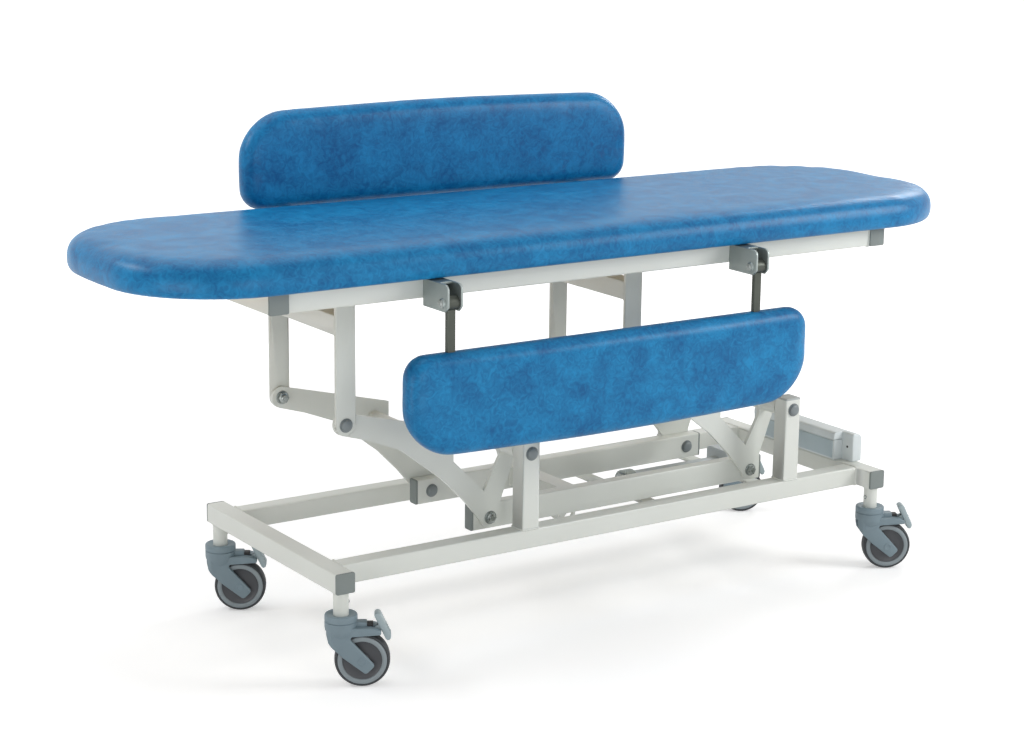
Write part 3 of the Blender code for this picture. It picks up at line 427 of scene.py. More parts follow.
def surfaced(tree, shader, colour, bump, rough=None):
    """Link a colour, a bump and, where it varies, a roughness to the shader."""
    tree.links.new(colour.outputs[2], shader.inputs["Base Color"])
    tree.links.new(bump.outputs[0], shader.inputs["Normal"])
    if rough:
        tree.links.new(rough.outputs[0], shader.inputs["Roughness"])


def powder_coat():
    """Polyester powder coat on steel tube: pale, satin, with a fine orange peel."""
    material, tree, shader, coords = started("frame_powder_coat")
    cloud = noise(tree, coords, 180, 3.0)
    peel = noise(tree, coords, 2.6, 2.0)
    colour = blend(tree, cloud, "#D5D8D1", "#DFE2DC")
    rough = add(tree, "MapRange", {}, {0: peel.outputs[0], 3: 0.30, 4: 0.42})
    bump = add(tree, "Bump", {}, {"Strength": 0.10, "Distance": 0.0004, "Height": peel.outputs[0]})
    surfaced(tree, shader, colour, bump, rough)
    shader.inputs["Coat Weight"].default_value = 0.15
    shader.inputs["Coat Roughness"].default_value = 0.2
    return material


def moulded(name, low, high, roughness, grain):
    """Injection-moulded plastic: an even colour with faint flow marks and a spark-eroded grain."""
    material, tree, shader, coords = started(name)
    flow = noise(tree, coords, 35, 4.0, Distortion=0.6)
    spark = noise(tree, coords, grain, 3.0)
    colour = blend(tree, flow, low, high)
    rough = add(tree, "MapRange", {}, {0: spark.outputs[0], 3: roughness - 0.07, 4: roughness + 0.07})
    bump = add(tree, "Bump", {}, {"Strength": 0.12, "Distance": 0.0003, "Height": spark.outputs[0]})
    surfaced(tree, shader, colour, bump, rough)
    return material


def tyre_rubber():
    """Moulded grey-black rubber: dull, with a dusty scuff where the tread rolls."""
    material, tree, shader, coords = started("tyre_rubber")
    dust = noise(tree, coords, 6, 6.0, Roughness=0.65)
    scuff = add(tree, "MapRange", {}, {0: dust.outputs[0], 1: 0.45, 2: 0.75, 3: 0.0, 4: 0.35})
    colour = blend(tree, scuff, "#34373A", "#606468")
    rough = add(tree, "MapRange", {}, {0: dust.outputs[0], 3: 0.58, 4: 0.82})
    bump = add(tree, "Bump", {}, {"Strength": 0.2, "Distance": 0.0004, "Height": dust.outputs[0]})
    surfaced(tree, shader, colour, bump, rough)
    return material


def metal(name, low, high, metallic, roughness, streak, depth=0.08):
    """Finished metal: streak stretches the finish marks along X, Y and Z, in millimetres."""
    material, tree, shader, coords = started(name)
    stretch = add(tree, "Mapping", {}, {"Vector": coords, "Scale": tuple(per_mm(s) for s in streak)})
    marks = add(tree, "TexNoise", {}, {"Vector": stretch.outputs[0], "Scale": 1.0, "Detail": 5.0})
    cloud = noise(tree, coords, 30, 3.0)
    colour = blend(tree, cloud, low, high)
    rough = add(tree, "MapRange", {}, {0: marks.outputs[0], 3: roughness - 0.08, 4: roughness + 0.10})
    bump = add(tree, "Bump", {}, {"Strength": depth, "Distance": 0.0002, "Height": marks.outputs[0]})
    surfaced(tree, shader, colour, bump, rough)
    shader.inputs["Metallic"].default_value = metallic
    return material


def vinyl():
    """Upholstery vinyl, embossed as hide: two blues clouded together, creased cells, soft sheen."""
    material, tree, shader, coords = started("upholstery_vinyl")
    cloud = noise(tree, coords, 60, 4.0, Roughness=0.5, Distortion=0.8)
    mottle = noise(tree, coords, 15, 5.0, Roughness=0.55, Distortion=1.8)
    broad = add(tree, "MapRange", {}, {0: cloud.outputs[0], 1: 0.35, 2: 0.68})
    fine = add(tree, "MapRange", {}, {0: mottle.outputs[0], 1: 0.36, 2: 0.66})
    mixed = add(tree, "Mix", {"data_type": "FLOAT"}, {
        0: 0.5, 2: broad.outputs[0], 3: fine.outputs[0]})
    colour = blend(tree, mixed, "#00598F", "#1A87BE")
    crumple = noise(tree, coords, 4, 2.0)
    bent = add(tree, "Mix", {"data_type": "VECTOR"}, {
        0: 0.0016, 4: coords, 5: crumple.outputs[1]})
    cells = add(tree, "TexVoronoi", {"feature": "DISTANCE_TO_EDGE"}, {
        "Vector": bent.outputs[1], "Scale": per_mm(2.2)})
    crease = add(tree, "MapRange", {}, {0: cells.outputs[0], 1: 0.0, 2: 0.16})
    relief = add(tree, "Math", {"operation": "MULTIPLY_ADD"}, {
        0: mottle.outputs[0], 1: 0.8, 2: crease.outputs[0]})
    rough = add(tree, "MapRange", {}, {0: mottle.outputs[0], 1: 0.3, 2: 0.7, 3: 0.30, 4: 0.42})
    bump = add(tree, "Bump", {}, {"Strength": 0.11, "Distance": 0.0005, "Height": relief.outputs[0]})
    surfaced(tree, shader, colour, bump, rough)
    shader.inputs["Specular IOR Level"].default_value = 0.24
    return material


def plywood():
    """Birch plywood, sanded and unfinished: long pale grain, faint rings."""
    material, tree, shader, coords = started("birch_plywood")
    stretch = add(tree, "Mapping", {}, {"Vector": coords, "Scale": (per_mm(260), per_mm(7), per_mm(7))})
    grain = add(tree, "TexNoise", {}, {"Vector": stretch.outputs[0], "Scale": 1.0, "Detail": 6.0,
                                       "Distortion": 0.5})
    colour = blend(tree, grain, "#A98655", "#D3B683")
    bump = add(tree, "Bump", {}, {"Strength": 0.15, "Distance": 0.0004, "Height": grain.outputs[0]})
    surfaced(tree, shader, colour, bump)
    shader.inputs["Roughness"].default_value = 0.68
    return material


paint = powder_coat()
cap_grey = moulded("cap_polyethylene", "#767E7C", "#7F8785", 0.55, 0.9)
cap_pale = moulded("post_cap_polyethylene", "#A9AFAE", "#B4B9B7", 0.5, 0.9)
castor_nylon = moulded("castor_nylon", "#72838C", "#7B8D95", 0.48, 1.1)
pedal_nylon = moulded("pedal_nylon", "#98A8AD", "#A5B3B6", 0.42, 1.1)
ring_grey = moulded("wheel_ring_plastic", "#848E93", "#8E989C", 0.45, 1.0)
hub_dark = moulded("wheel_hub_plastic", "#3A3C40", "#44464A", 0.42, 1.2)
tyre = tyre_rubber()
nut_cap_grey = moulded("nut_cap_plastic", "#767E80", "#828A8C", 0.42, 0.9)
zinc = metal("zinc_plated_steel", "#8D9392", "#A9AEAB", 1.0, 0.28, (3, 3, 3))
bracket_zinc = metal("zinc_bracket", "#8F9896", "#A4ACAA", 0.75, 0.42, (2, 2, 2))
arm_black = metal("phosphated_steel_bar", "#41453F", "#4F534C", 0.6, 0.40, (1.2, 1.2, 60))
chrome = metal("chromed_rod", "#C2C5C5", "#CFD1D1", 1.0, 0.16, (0.5, 40, 40), 0.02)
hide = vinyl()
ply = plywood()
box_pale = moulded("box_abs", "#D0D8DA", "#DAE1E2", 0.46, 1.0)
box_panel = moulded("box_panel_abs", "#AFBFC6", "#B9C8CE", 0.38, 1.0)
drive_pale = moulded("drive_polyamide", "#BCC4C8", "#C8CFD2", 0.45, 1.2)
# near-black for the control box's screw heads and the block in the pedal's gap, and painted shade on the
# floors of the grub screws' sockets
black_and_shade = moulded("screw_recess_black", "#141516", "#1B1C1D", 0.6, 0.8)


# Frame, cranks and links

def bead(outline, axis, along):
    """A coated weld bead along a closed outline, with the ripples of its passes."""
    deselect()
    points = spaced(outline, BEAD_STEP)
    bpy.ops.mesh.primitive_circle_add(vertices=len(points), fill_type="NOTHING")
    piece = bpy.context.object
    for vertex, (u, v) in zip(piece.data.vertices, points):
        vertex.co = in_space(axis, u, v, along)
    bpy.ops.object.convert(target="CURVE")
    piece = bpy.context.object
    piece.data.bevel_depth = BEAD_RADIUS
    piece.data.bevel_resolution = 1
    for number, point in enumerate(piece.data.splines[0].points):
        point.radius = 1.0 + 0.16 * math.sin(number * 2.1)
    bpy.ops.object.convert(target="MESH")
    return bpy.context.object


def circle(centre, radius):
    last = WELD_ROUND - 1
    return arc(centre, radius, 0, 360 * last / WELD_ROUND, last)


def square(centre, radius=TUBE_CORNER):
    """A square tube's outline about a centre."""
    return shifted(rounded(TUBE / 2, TUBE / 2, radius, 3), *centre)


def welds(name, body, beads):
    finished(joined(name, beads), paint, body, angle=SOFT_ANGLE)


def frame_and_welds():
    """Painted frames, cranks and links, with the weld beads of their joints."""
    refined("base_frame", paint)
    refined("upper_frame", paint)
    refined("link_frame", paint, 0.0006)
    for end in ENDS:
        refined(f"crank_{end}", paint, 0.0009)
    beads = []
    rail = BASE_Z + TUBE / 2
    for sign in SIDES.values():
        for x in PIVOT_X.values():
            beads.append(bead(square((x, sign * LONG_TUBE_Y)), "Z", BASE_TOP + ON_TUBE))
        for x in CASTOR_X.values():
            inward = TUBE / 2 if x < 0 else -TUBE / 2
            beads.append(bead(square((sign * LONG_TUBE_Y, rail)), "X", x + inward))
            beads.append(bead(circle((x, sign * CASTOR_Y), STEM_RADIUS), "Z", BASE_Z - ON_TUBE))
    welds("base_welds", "base", beads)
    beads = []
    rail = UPPER_Z + TUBE / 2
    rail_y = RAIL_OUTER_Y - TUBE / 2
    for sign in SIDES.values():
        for x in UPPER_X.values():
            inward = TUBE / 2 if x < 0 else -TUBE / 2
            beads.append(bead(square((sign * rail_y, rail)), "X", x + inward))
        for x in PIVOT_X.values():
            foot = x + LEG_OFFSET[0]
            leg = rounded(LEG_WIDTH / 2, LEG / 2, 0.002, 2)
            leg = shifted(leg, foot, sign * (LEG_INNER_Y + LEG / 2))
            beads.append(bead(leg, "Z", UPPER_Z - ON_PLATE))
            beads.append(bead(square((foot, BRACE_Z)), "Y", sign * (LEG_INNER_Y - ON_PLATE)))
            beads.append(bead(square((foot, rail)), "Y", sign * (rail_y - TUBE / 2)))
    welds("upper_welds", "upper", beads)
    for end, x in PIVOT_X.items():
        beads = []
        for sign in SIDES.values():
            inner, outer = PLATE_INNER_Y - ON_PLATE, PLATE_OUTER_Y + ON_PLATE
            for y in (inner, outer):
                beads.append(bead(circle((x, PIVOT_Z), SLEEVE_RADIUS), "Y", sign * y))
            torque = (x + TORQUE_OFFSET[0], PIVOT_Z + TORQUE_OFFSET[1])
            beads.append(bead(circle(torque, TORQUE_RADIUS), "Y", sign * inner))
        welds(f"crank_welds_{end}", f"crank_{end}", beads)
    spreader = (SPREADER_X, PIVOT_Z + LINK_OFFSET[1] + SPREADER_RISE)
    welds("link_welds", "links", [
        bead(square(spreader, radius=0.001), "Y", sign * (LINK_INNER_Y - ON_PLATE))
        for sign in SIDES.values()])


# Caps and fasteners

def end_cap(name, width, height, head, plug, wall):
    """A pressed-in cap facing -Y: eased head with a faint dome, and a plain plug behind it."""
    cap = slab(name, (-width / 2, -head, -height / 2), (width / 2, 0, height / 2))
    bevelled(cap, lambda e: abs(e.verts[0].co.y - e.verts[1].co.y) > SAME_PLANE, TUBE_CORNER, 4)
    bevelled(cap, at("Y", -head), 0.0012, 3)
    edit(cap)
    pick(cap, "faces", lambda f: f.normal.y < -0.99)
    bpy.ops.mesh.inset(thickness=0.0015, depth=0.0002)
    pick(cap, "faces", lambda f: f.normal.y > 0.99)
    bpy.ops.mesh.inset(thickness=wall, depth=0.0)
    bpy.ops.mesh.extrude_region_move(TRANSFORM_OT_translate={"value": (0, plug, 0)})
    leave()
    return cap


def tube_caps():
    """Caps in the ends of the cross tubes and link bars, and lids on the posts."""
    pattern = end_cap("tube_cap", TUBE, TUBE, CAP_HEAD, 0.019, CAP_WALL)
    for body in ("base", "upper"):
        for side, sign in SIDES.items():
            for end in ENDS:
                node = f"{body}_cap_{side}_{end}"
                low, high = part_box(node)
                face = (high.y - CAP_HEAD) if sign > 0 else (low.y + CAP_HEAD)
                place = Matrix.Translation(((low.x + high.x) / 2, face, (low.z + high.z) / 2))
                turn = Matrix.Rotation(math.pi if sign > 0 else 0, 4, "Z")
                cap = copied(pattern, f"{node}_finish", place @ turn)
                finished(cap, cap_grey, body, (node,))
    dropped(pattern)
    pattern = end_cap("link_end_cap", 0.025, 0.050, LINK_CAP_HEAD, 0.011, CAP_WALL)
    for side in SIDES:
        for end in ENDS:
            node = f"link_cap_{side}_{end}"
            low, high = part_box(node)
            face = low.x + LINK_CAP_HEAD if end == "left" else high.x - LINK_CAP_HEAD
            place = Matrix.Translation((face, (low.y + high.y) / 2, (low.z + high.z) / 2))
            turn = Matrix.Rotation(math.radians(-90 if end == "left" else 90), 4, "Z")
            cap = copied(pattern, f"{node}_finish", place @ turn)
            finished(cap, cap_grey, "links", (node,))
    dropped(pattern)
    lids = []
    for sign in SIDES.values():
        for x in PIVOT_X.values():
            lid = plate("lid", "Z", square((x, sign * LONG_TUBE_Y)), POST_TOP, POST_TOP + LID)
            lids.append(bevelled(lid, at("Z", POST_TOP + LID), 0.0014, 3))
    finished(joined("post_caps", lids), cap_pale, "base")


def dome(seat, radius, height, shank, tail):
    """Profile of a washer and domed cap on a shank that ends at tail, along a pivot."""
    washer, skirt, rim = 0.0014, 0.0022, 0.0022
    crown = [(radius * math.cos(a), seat + washer + skirt + (height - washer - skirt) * math.sin(a))
             for a in (math.radians(10 * i) for i in range(9))]
    return [(0, tail), (shank, tail), (shank, seat), (radius + rim, seat),
            (radius + rim, seat + washer * 0.6), (radius + 0.0016, seat + washer),
            (radius, seat + washer)] + crown + [(0, seat + height)]


def hexagon(radius, u, v):
    """A hexagon's outline by its corners' radius, about a centre."""
    return shifted(arc((0, 0), radius, 0, 300, 5), u, v)


def hexagon_head(name, x, z, seat, way, height):
    """A hexagon head or nut with its corners turned off, on a washer, facing along Y."""
    thick = 0.0016
    washer = turned("washer", "Y", [
        (0.0082, seat), (0.0128, seat), (0.0130, seat + way * 0.0004),
        (0.0130, seat + way * 0.0013), (0.0126, seat + way * thick), (0.0082, seat + way * thick)],
        (x, 0, z))
    top = seat + way * (thick + height)
    outline = hexagon(NUT_ACROSS / math.sqrt(3), x, z)
    head = plate("head", "Y", outline, *sorted((seat + way * thick, top)))
    bevelled(head, at("Y", top), 0.0011, 2)
    tip = turned("thread", "Y", [(0, top - way * 0.001), (0.0062, top - way * 0.001),
                                 (0.0062, top + way * 0.0014), (0.0054, top + way * 0.0021),
                                 (0, top + way * 0.0021)], (x, 0, z))
    return joined(name, [head, washer, tip])


def pivots_and_bolts():
    """Capped shafts through the posts, and the bolts of legs and links with their inner nuts."""
    for end, x in PIVOT_X.items():
        node = f"pivot_shaft_{end}"
        low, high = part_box(node)
        seat = LONG_TUBE_Y + TUBE / 2 + SEAT_GAP
        profile = dome(seat, radius=0.0112, height=high.y - seat, shank=0.010, tail=0.02)
        parts = [turned("head", "Y", [(r, sign * y) for r, y in profile], (x, 0, PIVOT_Z))
                 for sign in SIDES.values()]
        shaft = turned("shaft", "Y", [(0, -0.03), (0.0098, -0.03), (0.0098, 0.03), (0, 0.03)],
                       (x, 0, PIVOT_Z))
        finished(joined(f"{node}_finish", parts + [shaft]), nut_cap_grey, "base", (node,))
        leg_x, leg_z = x + LEG_OFFSET[0], PIVOT_Z + LEG_OFFSET[1]
        link_x, link_z = x + LINK_OFFSET[0], PIVOT_Z + LINK_OFFSET[1]
        for side, sign in SIDES.items():
            node = f"leg_bolt_{side}_{end}"
            low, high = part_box(node)
            seat = LEG_INNER_Y + LEG + SEAT_GAP
            inner, outer = sorted((abs(low.y), abs(high.y)))
            profile = dome(seat, radius=0.0110, height=outer - seat, shank=0.0078, tail=inner + 0.001)
            bolt = turned(f"{node}_finish", "Y", [(r, sign * y) for r, y in profile], (leg_x, 0, leg_z))
            finished(bolt, nut_cap_grey, body_of(node), (node,))
            if end == "left":  # at the right the link bar passes here when the top is low
                nut = hexagon_head(f"leg_nut_{side}_{end}", leg_x, leg_z,
                                   sign * (PLATE_INNER_Y - SEAT_GAP), -sign, height=0.0075)
                finished(nut, zinc, body_of(node))
            node = f"link_bolt_{side}_{end}"
            head = hexagon_head(f"{node}_finish", link_x, link_z, sign * (PLATE_OUTER_Y + 0.0003), sign,
                                height=0.0052)
            start, end_y = sign * LINK_INNER_Y, sign * (PLATE_OUTER_Y + 0.001)
            profile = [(0, start), (0.0078, start), (0.0078, end_y), (0, end_y)]
            shank = turned("shank", "Y", profile, (link_x, 0, link_z))
            head = joined(f"{node}_finish", [head, shank])
            finished(head, zinc, body_of(node), (node,))
            profile = dome(-LINK_INNER_Y + SEAT_GAP, radius=0.0110, height=0.0082, shank=0.006,
                           tail=-LINK_INNER_Y - 0.002)
            cap = turned(f"link_nut_{side}_{end}", "Y", [(r, -sign * y) for r, y in profile],
                         (link_x, 0, link_z))
            finished(cap, nut_cap_grey, body_of(node))


# Castors

def stems():
    """Round stems, each with a grub screw on the side towards the table's middle."""
    sleeves, screws, socket_shades = [], [], []
    middle = (BASE_Z + COLLAR_TOP) / 2
    for sign in SIDES.values():
        for x in CASTOR_X.values():
            place = (x, sign * CASTOR_Y, 0)
            radius, bore = STEM_RADIUS + SEAT_GAP, STEM_RADIUS - 0.002
            foot, head = COLLAR_TOP - 0.008, BASE_Z - SEAT_GAP
            sleeves.append(turned("stem", "Z", [
                (bore, foot), (radius, foot), (radius, head), (bore, head)], place, ROUND))
            way = -math.copysign(1, x)
            root, floor = radius - 0.001, radius + 0.0009
            screw = [(0.0022, root), (0.0042, root), (0.0042, radius + 0.0014),
                     (0.0036, radius + 0.0021), (0.0022, radius + 0.0021)]
            # a near-black disc sunk in each grub screw's socket: painted shade in the recess
            socket = [(0, root), (0.0024, root), (0.0024, floor), (0, floor)]
            spot = (x, sign * CASTOR_Y, middle)
            screws.append(turned("grub", "X", [(r, way * u) for r, u in screw], spot))
            socket_shades.append(turned("socket", "X", [(r, way * u) for r, u in socket], spot, 6))
    finished(joined("castor_stems", sleeves), paint, "base")
    finished(joined("grub_screws", screws), zinc, "base")
    finished(joined("grub_socket_shade", socket_shades), black_and_shade, "base")


def fork_outline():
    """Side view of the fork: back under the collar, slanted leg to the axle, shelf over the wheel."""
    back = [(-0.0296, 0.114), (-0.0290, 0.107), (-0.0262, 0.098), (-0.0229, 0.0853), (-0.0160, 0.0762),
            (-0.0094, 0.0700), (0.0059, 0.0558)]
    tip = [(0.0405, 0.0289), (0.0421, 0.0281), (0.0441, 0.0279), (0.0461, 0.0285), (0.0480, 0.0297),
           (0.0566, 0.0385), (0.0580, 0.0403), (0.0586, 0.0423), (0.0583, 0.0444), (0.0573, 0.0462)]
    front = [(0.0190, 0.0889), (0.0179, 0.0906), (0.0175, 0.0930), (0.0182, 0.0954), (0.0200, 0.0968)]
    shelf = [(0.0690, 0.0999), (0.0708, 0.1008), (0.0716, 0.1030), (0.0713, 0.1054), (0.0694, 0.1073),
             (0.0640, 0.1101), (0.0580, 0.1118), (0.0520, 0.1126), (0.0460, 0.1128), (0.0100, 0.1128)]
    return back + tip + front + shelf


def castor_housing():
    """Collar, fork trimmed to the collar's round, shelf with the pedal's hinge, and the axle."""
    collar = turned("castor_housing", "Z", [
        (0, 0.094), (0.0225, 0.094), (0.0260, 0.098), (0.0288, 0.105), (COLLAR_RADIUS, 0.110),
        (COLLAR_RADIUS, COLLAR_SEAM - 0.0012), (COLLAR_RADIUS - 0.0014, COLLAR_SEAM - 0.0005),
        (COLLAR_RADIUS - 0.0014, COLLAR_SEAM + 0.0005), (COLLAR_RADIUS, COLLAR_SEAM + 0.0012),
        (COLLAR_RADIUS, COLLAR_TOP - 0.0030), (COLLAR_RADIUS - 0.0004, COLLAR_TOP - 0.0014),
        (COLLAR_RADIUS - 0.0014, COLLAR_TOP - 0.0004), (COLLAR_RADIUS - 0.0030, COLLAR_TOP),
        (COLLAR_RADIUS - 0.0060, COLLAR_TOP - 0.0003), (STEM_RADIUS + 0.0060, COLLAR_TOP - 0.0015),
        (STEM_RADIUS + 0.0006, COLLAR_TOP - 0.0022), (STEM_RADIUS + 0.0006, COLLAR_TOP - 0.0123),
        (0, COLLAR_TOP - 0.0123)], steps=ROUND)
    fork = plate("fork", "Y", fork_outline(), -FORK_OUTER, FORK_OUTER)
    bevelled(fork, lambda e: at("Y", FORK_OUTER)(e) or at("Y", -FORK_OUTER)(e), 0.0020, 3)
    trim = slab("trim", (-0.06, -0.06, 0.0), (0.0, 0.06, 0.14))
    inside = COLLAR_RADIUS - 0.0004
    keep = turned("keep", "Z", [(0, -0.01), (inside, -0.01), (inside, 0.15), (0, 0.15)], steps=ROUND)
    boolean(fork, boolean(trim, keep, "DIFFERENCE"), "DIFFERENCE")
    boolean(collar, fork, "UNION")
    block = slab("block", (0.018, -0.010, 0.100), (BLOCK_X, 0.010, BLOCK_TOP))
    boolean(collar, bevelled(block, sharp, 0.0018, 3), "UNION")
    reach = WHEEL_RADIUS + 0.0026
    room = turned("room", "Y", [(0, -FORK_INNER), (reach, -FORK_INNER), (reach, FORK_INNER),
                                (0, FORK_INNER)], (TRAIL, 0, AXLE_Z), ROUND)
    boolean(collar, room, "DIFFERENCE")
    under = slab("under", (TRAIL - reach, -FORK_INNER, -0.01), (TRAIL + reach, FORK_INNER, AXLE_Z))
    boolean(collar, under, "DIFFERENCE")
    boolean(collar, slab("back", (-0.06, -0.012, 0.0), (-0.012, 0.012, 0.106)), "DIFFERENCE")
    boolean(collar, slab("ears", (0.0575, -0.0098, 0.05), (0.12, 0.0098, 0.14)), "DIFFERENCE")
    tongue, knuckle = 0.0049, 0.0054
    bridge = slab("bridge", (0.040, -tongue, 0.1038), (PEDAL_X, tongue, PEDAL_Z + knuckle))
    boolean(collar, bridge, "UNION")
    boss = [(0, -tongue), (knuckle, -tongue), (knuckle, tongue), (0, tongue)]
    boolean(collar, turned("boss", "Y", boss, (PEDAL_X, 0, PEDAL_Z)), "UNION")
    buttons = []
    for sign in SIDES.values():
        profile = [(0, FORK_OUTER - 0.003), (0.0082, FORK_OUTER - 0.003), (0.0082, FORK_OUTER + 0.0003),
                   (0.0074, FORK_OUTER + 0.0009), (0.0050, FORK_OUTER + 0.0009),
                   (0.0044, FORK_OUTER + 0.0004), (0, FORK_OUTER + 0.0004)]
        buttons.append(turned("axle_button", "Y", [(r, sign * y) for r, y in profile], (TRAIL, 0, AXLE_Z)))
    half = FORK_INNER + 0.001
    axle = turned("axle", "Y", [(0, -half), (AXLE_RADIUS, -half), (AXLE_RADIUS, half), (0, half)],
                  (TRAIL, 0, AXLE_Z))
    return joined("castor_housing", [collar, axle] + buttons)


def castor_wheel():
    """Pale ring round a dark dished hub, about the axle at the origin."""
    half = WHEEL_HALF
    side = [(0.0056, half), (0.0125, half), (0.0135, half - 0.0012), (0.0145, half - 0.0042),
            (0.0240, half - 0.0050), (0.0330, half - 0.0038), (HUB_RADIUS, half - 0.0026),
            (HUB_RADIUS + 0.0006, half - 0.0012), (HUB_RADIUS + 0.0016, half - 0.0006),
            (RIM_RADIUS - 0.0012, half - 0.0009), (RIM_RADIUS, half - 0.0018)]
    wheel = turned("castor_wheel", "Y", side + [(r, -y) for r, y in reversed(side)], steps=ROUND)
    wheel.data.materials.append(ring_grey)
    wheel.data.materials.append(hub_dark)
    for face in wheel.data.polygons:
        reach = math.hypot(face.center.x, face.center.z)
        face.material_index = 1 if reach < HUB_RADIUS + 0.0002 else 0
    return wheel


def castor_tyre():
    half = WHEEL_HALF
    side = [(RIM_RADIUS + 0.0002, half - 0.0026), (RIM_RADIUS + 0.0010, half - 0.0016),
            (WHEEL_RADIUS - 0.0032, half - 0.0016), (WHEEL_RADIUS - 0.0016, half - 0.0030),
            (WHEEL_RADIUS - 0.0006, half - 0.0056), (WHEEL_RADIUS - 0.0001, half - 0.0095),
            (WHEEL_RADIUS, half - 0.0125)]
    return turned("castor_tyre", "Y", side + [(r, -y) for r, y in reversed(side)], steps=ROUND)


def castor_pedal():
    """Brake pedal about its hinge at the origin, as it lies before it leans: ribs across its tread."""
    half, thick, lift = PEDAL_HALF_LENGTH, 0.0115, 0.0062
    outline = [(-half, 0.002), (-half, thick * 0.7), (-half + 0.004, thick), (half - 0.005, thick),
               (half, thick * 0.6), (half, 0.002), (half - 0.004, 0), (-half + 0.003, 0)]
    pedal = plate("castor_pedal", "Y", shifted(outline, 0, lift), -0.013, 0.013)
    bevelled(pedal, sharp, 0.0018, 3)
    parts = [pedal]
    for number in range(4):
        u = 0.001 + 0.0055 * number
        rib = slab("rib", (u - 0.0011, -0.0105, lift + thick - 0.0010),
                   (u + 0.0011, 0.0105, lift + thick + 0.0009))
        parts.append(bevelled(rib, sharp, 0.0006, 2))
    for sign in SIDES.values():
        ear = [(-0.005, lift + 0.0045)] + arc((0, 0), 0.005, 180, 360, 10) + [(0.005, lift + 0.0045)]
        low, high = sorted((sign * 0.0053, sign * 0.0093))
        parts.append(plate("ear", "Y", ear, low, high))
    pin = [(0, -0.0093), (0.0028, -0.0093), (0.0028, 0.0093), (0, 0.0093)]
    parts.append(turned("pin", "Y", pin))
    pedal = joined("castor_pedal", parts)
    pedal.data.transform(Matrix.Rotation(PEDAL_LEAN, 4, "Y"))
    return pedal


def castors():
    """One castor of each piece, copied swivelled under each end of both cross tubes."""
    stems()
    # a near-black block filling the gap between the fork's block and the pedal
    gap_block = slab("pedal_gap_block", (BLOCK_X - 0.002, -0.0088, GAP_BLOCK_LOW), (GAP_BLOCK_X, 0.0088, GAP_BLOCK_TOP))
    bevelled(gap_block, sharp, 0.0012, 2)
    pieces = (
        (castor_housing(), 0, 0, castor_nylon, "castor_plastic", "castor", True),
        (castor_wheel(), TRAIL, AXLE_Z, ring_grey, "wheel_plastic", "wheel", True),
        (castor_tyre(), TRAIL, AXLE_Z, tyre, "tyre_rubber", "wheel", True),
        (castor_pedal(), PEDAL_X, PEDAL_Z, pedal_nylon, "castor_plastic", "pedal", True),
        (gap_block, 0, 0, black_and_shade, "castor_plastic", "castor", False))
    for pattern, reach, z, material, slot, body, in_cad in pieces:
        for side, sign in SIDES.items():
            for end, x in CASTOR_X.items():
                node = f"{pattern.name}_{side}_{end}"
                place = (Matrix.Translation((x, sign * CASTOR_Y, 0)) @ Matrix.Rotation(SWIVEL, 4, "Z")
                         @ Matrix.Translation((reach, 0, z)))
                name = node + "_finish" if in_cad else node
                finished(copied(pattern, name, place), material, f"{body}_{side}_{end}",
                         (node,) if in_cad else ())
        dropped(pattern)


# Hinge brackets and arms

def brackets_and_arms():
    """Hinge brackets with the hexagon heads of their pins, and the arms of the sides."""
    cheek, tall, corner = 0.016, 0.0058, 0.0078
    for side, sign in SIDES.items():
        for end in ENDS:
            node = f"hinge_bracket_{side}_{end}"
            refined(node, bracket_zinc, 0.0008)
            low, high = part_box(node)
            x, y = (low.x + high.x) / 2, sign * HINGE_Y
            heads = []
            for way in (-1, 1):
                face = x + way * cheek
                top = face + way * tall
                head = plate("head", "X", hexagon(corner, y, HINGE_Z), *sorted((face, top)))
                heads.append(bevelled(head, at("X", top), 0.0009, 2))
            finished(joined(f"hinge_heads_{side}_{end}", heads), zinc, "upper")
            refined(f"side_arm_{side}_{end}", arm_black, 0.0008)


# Control box and drive

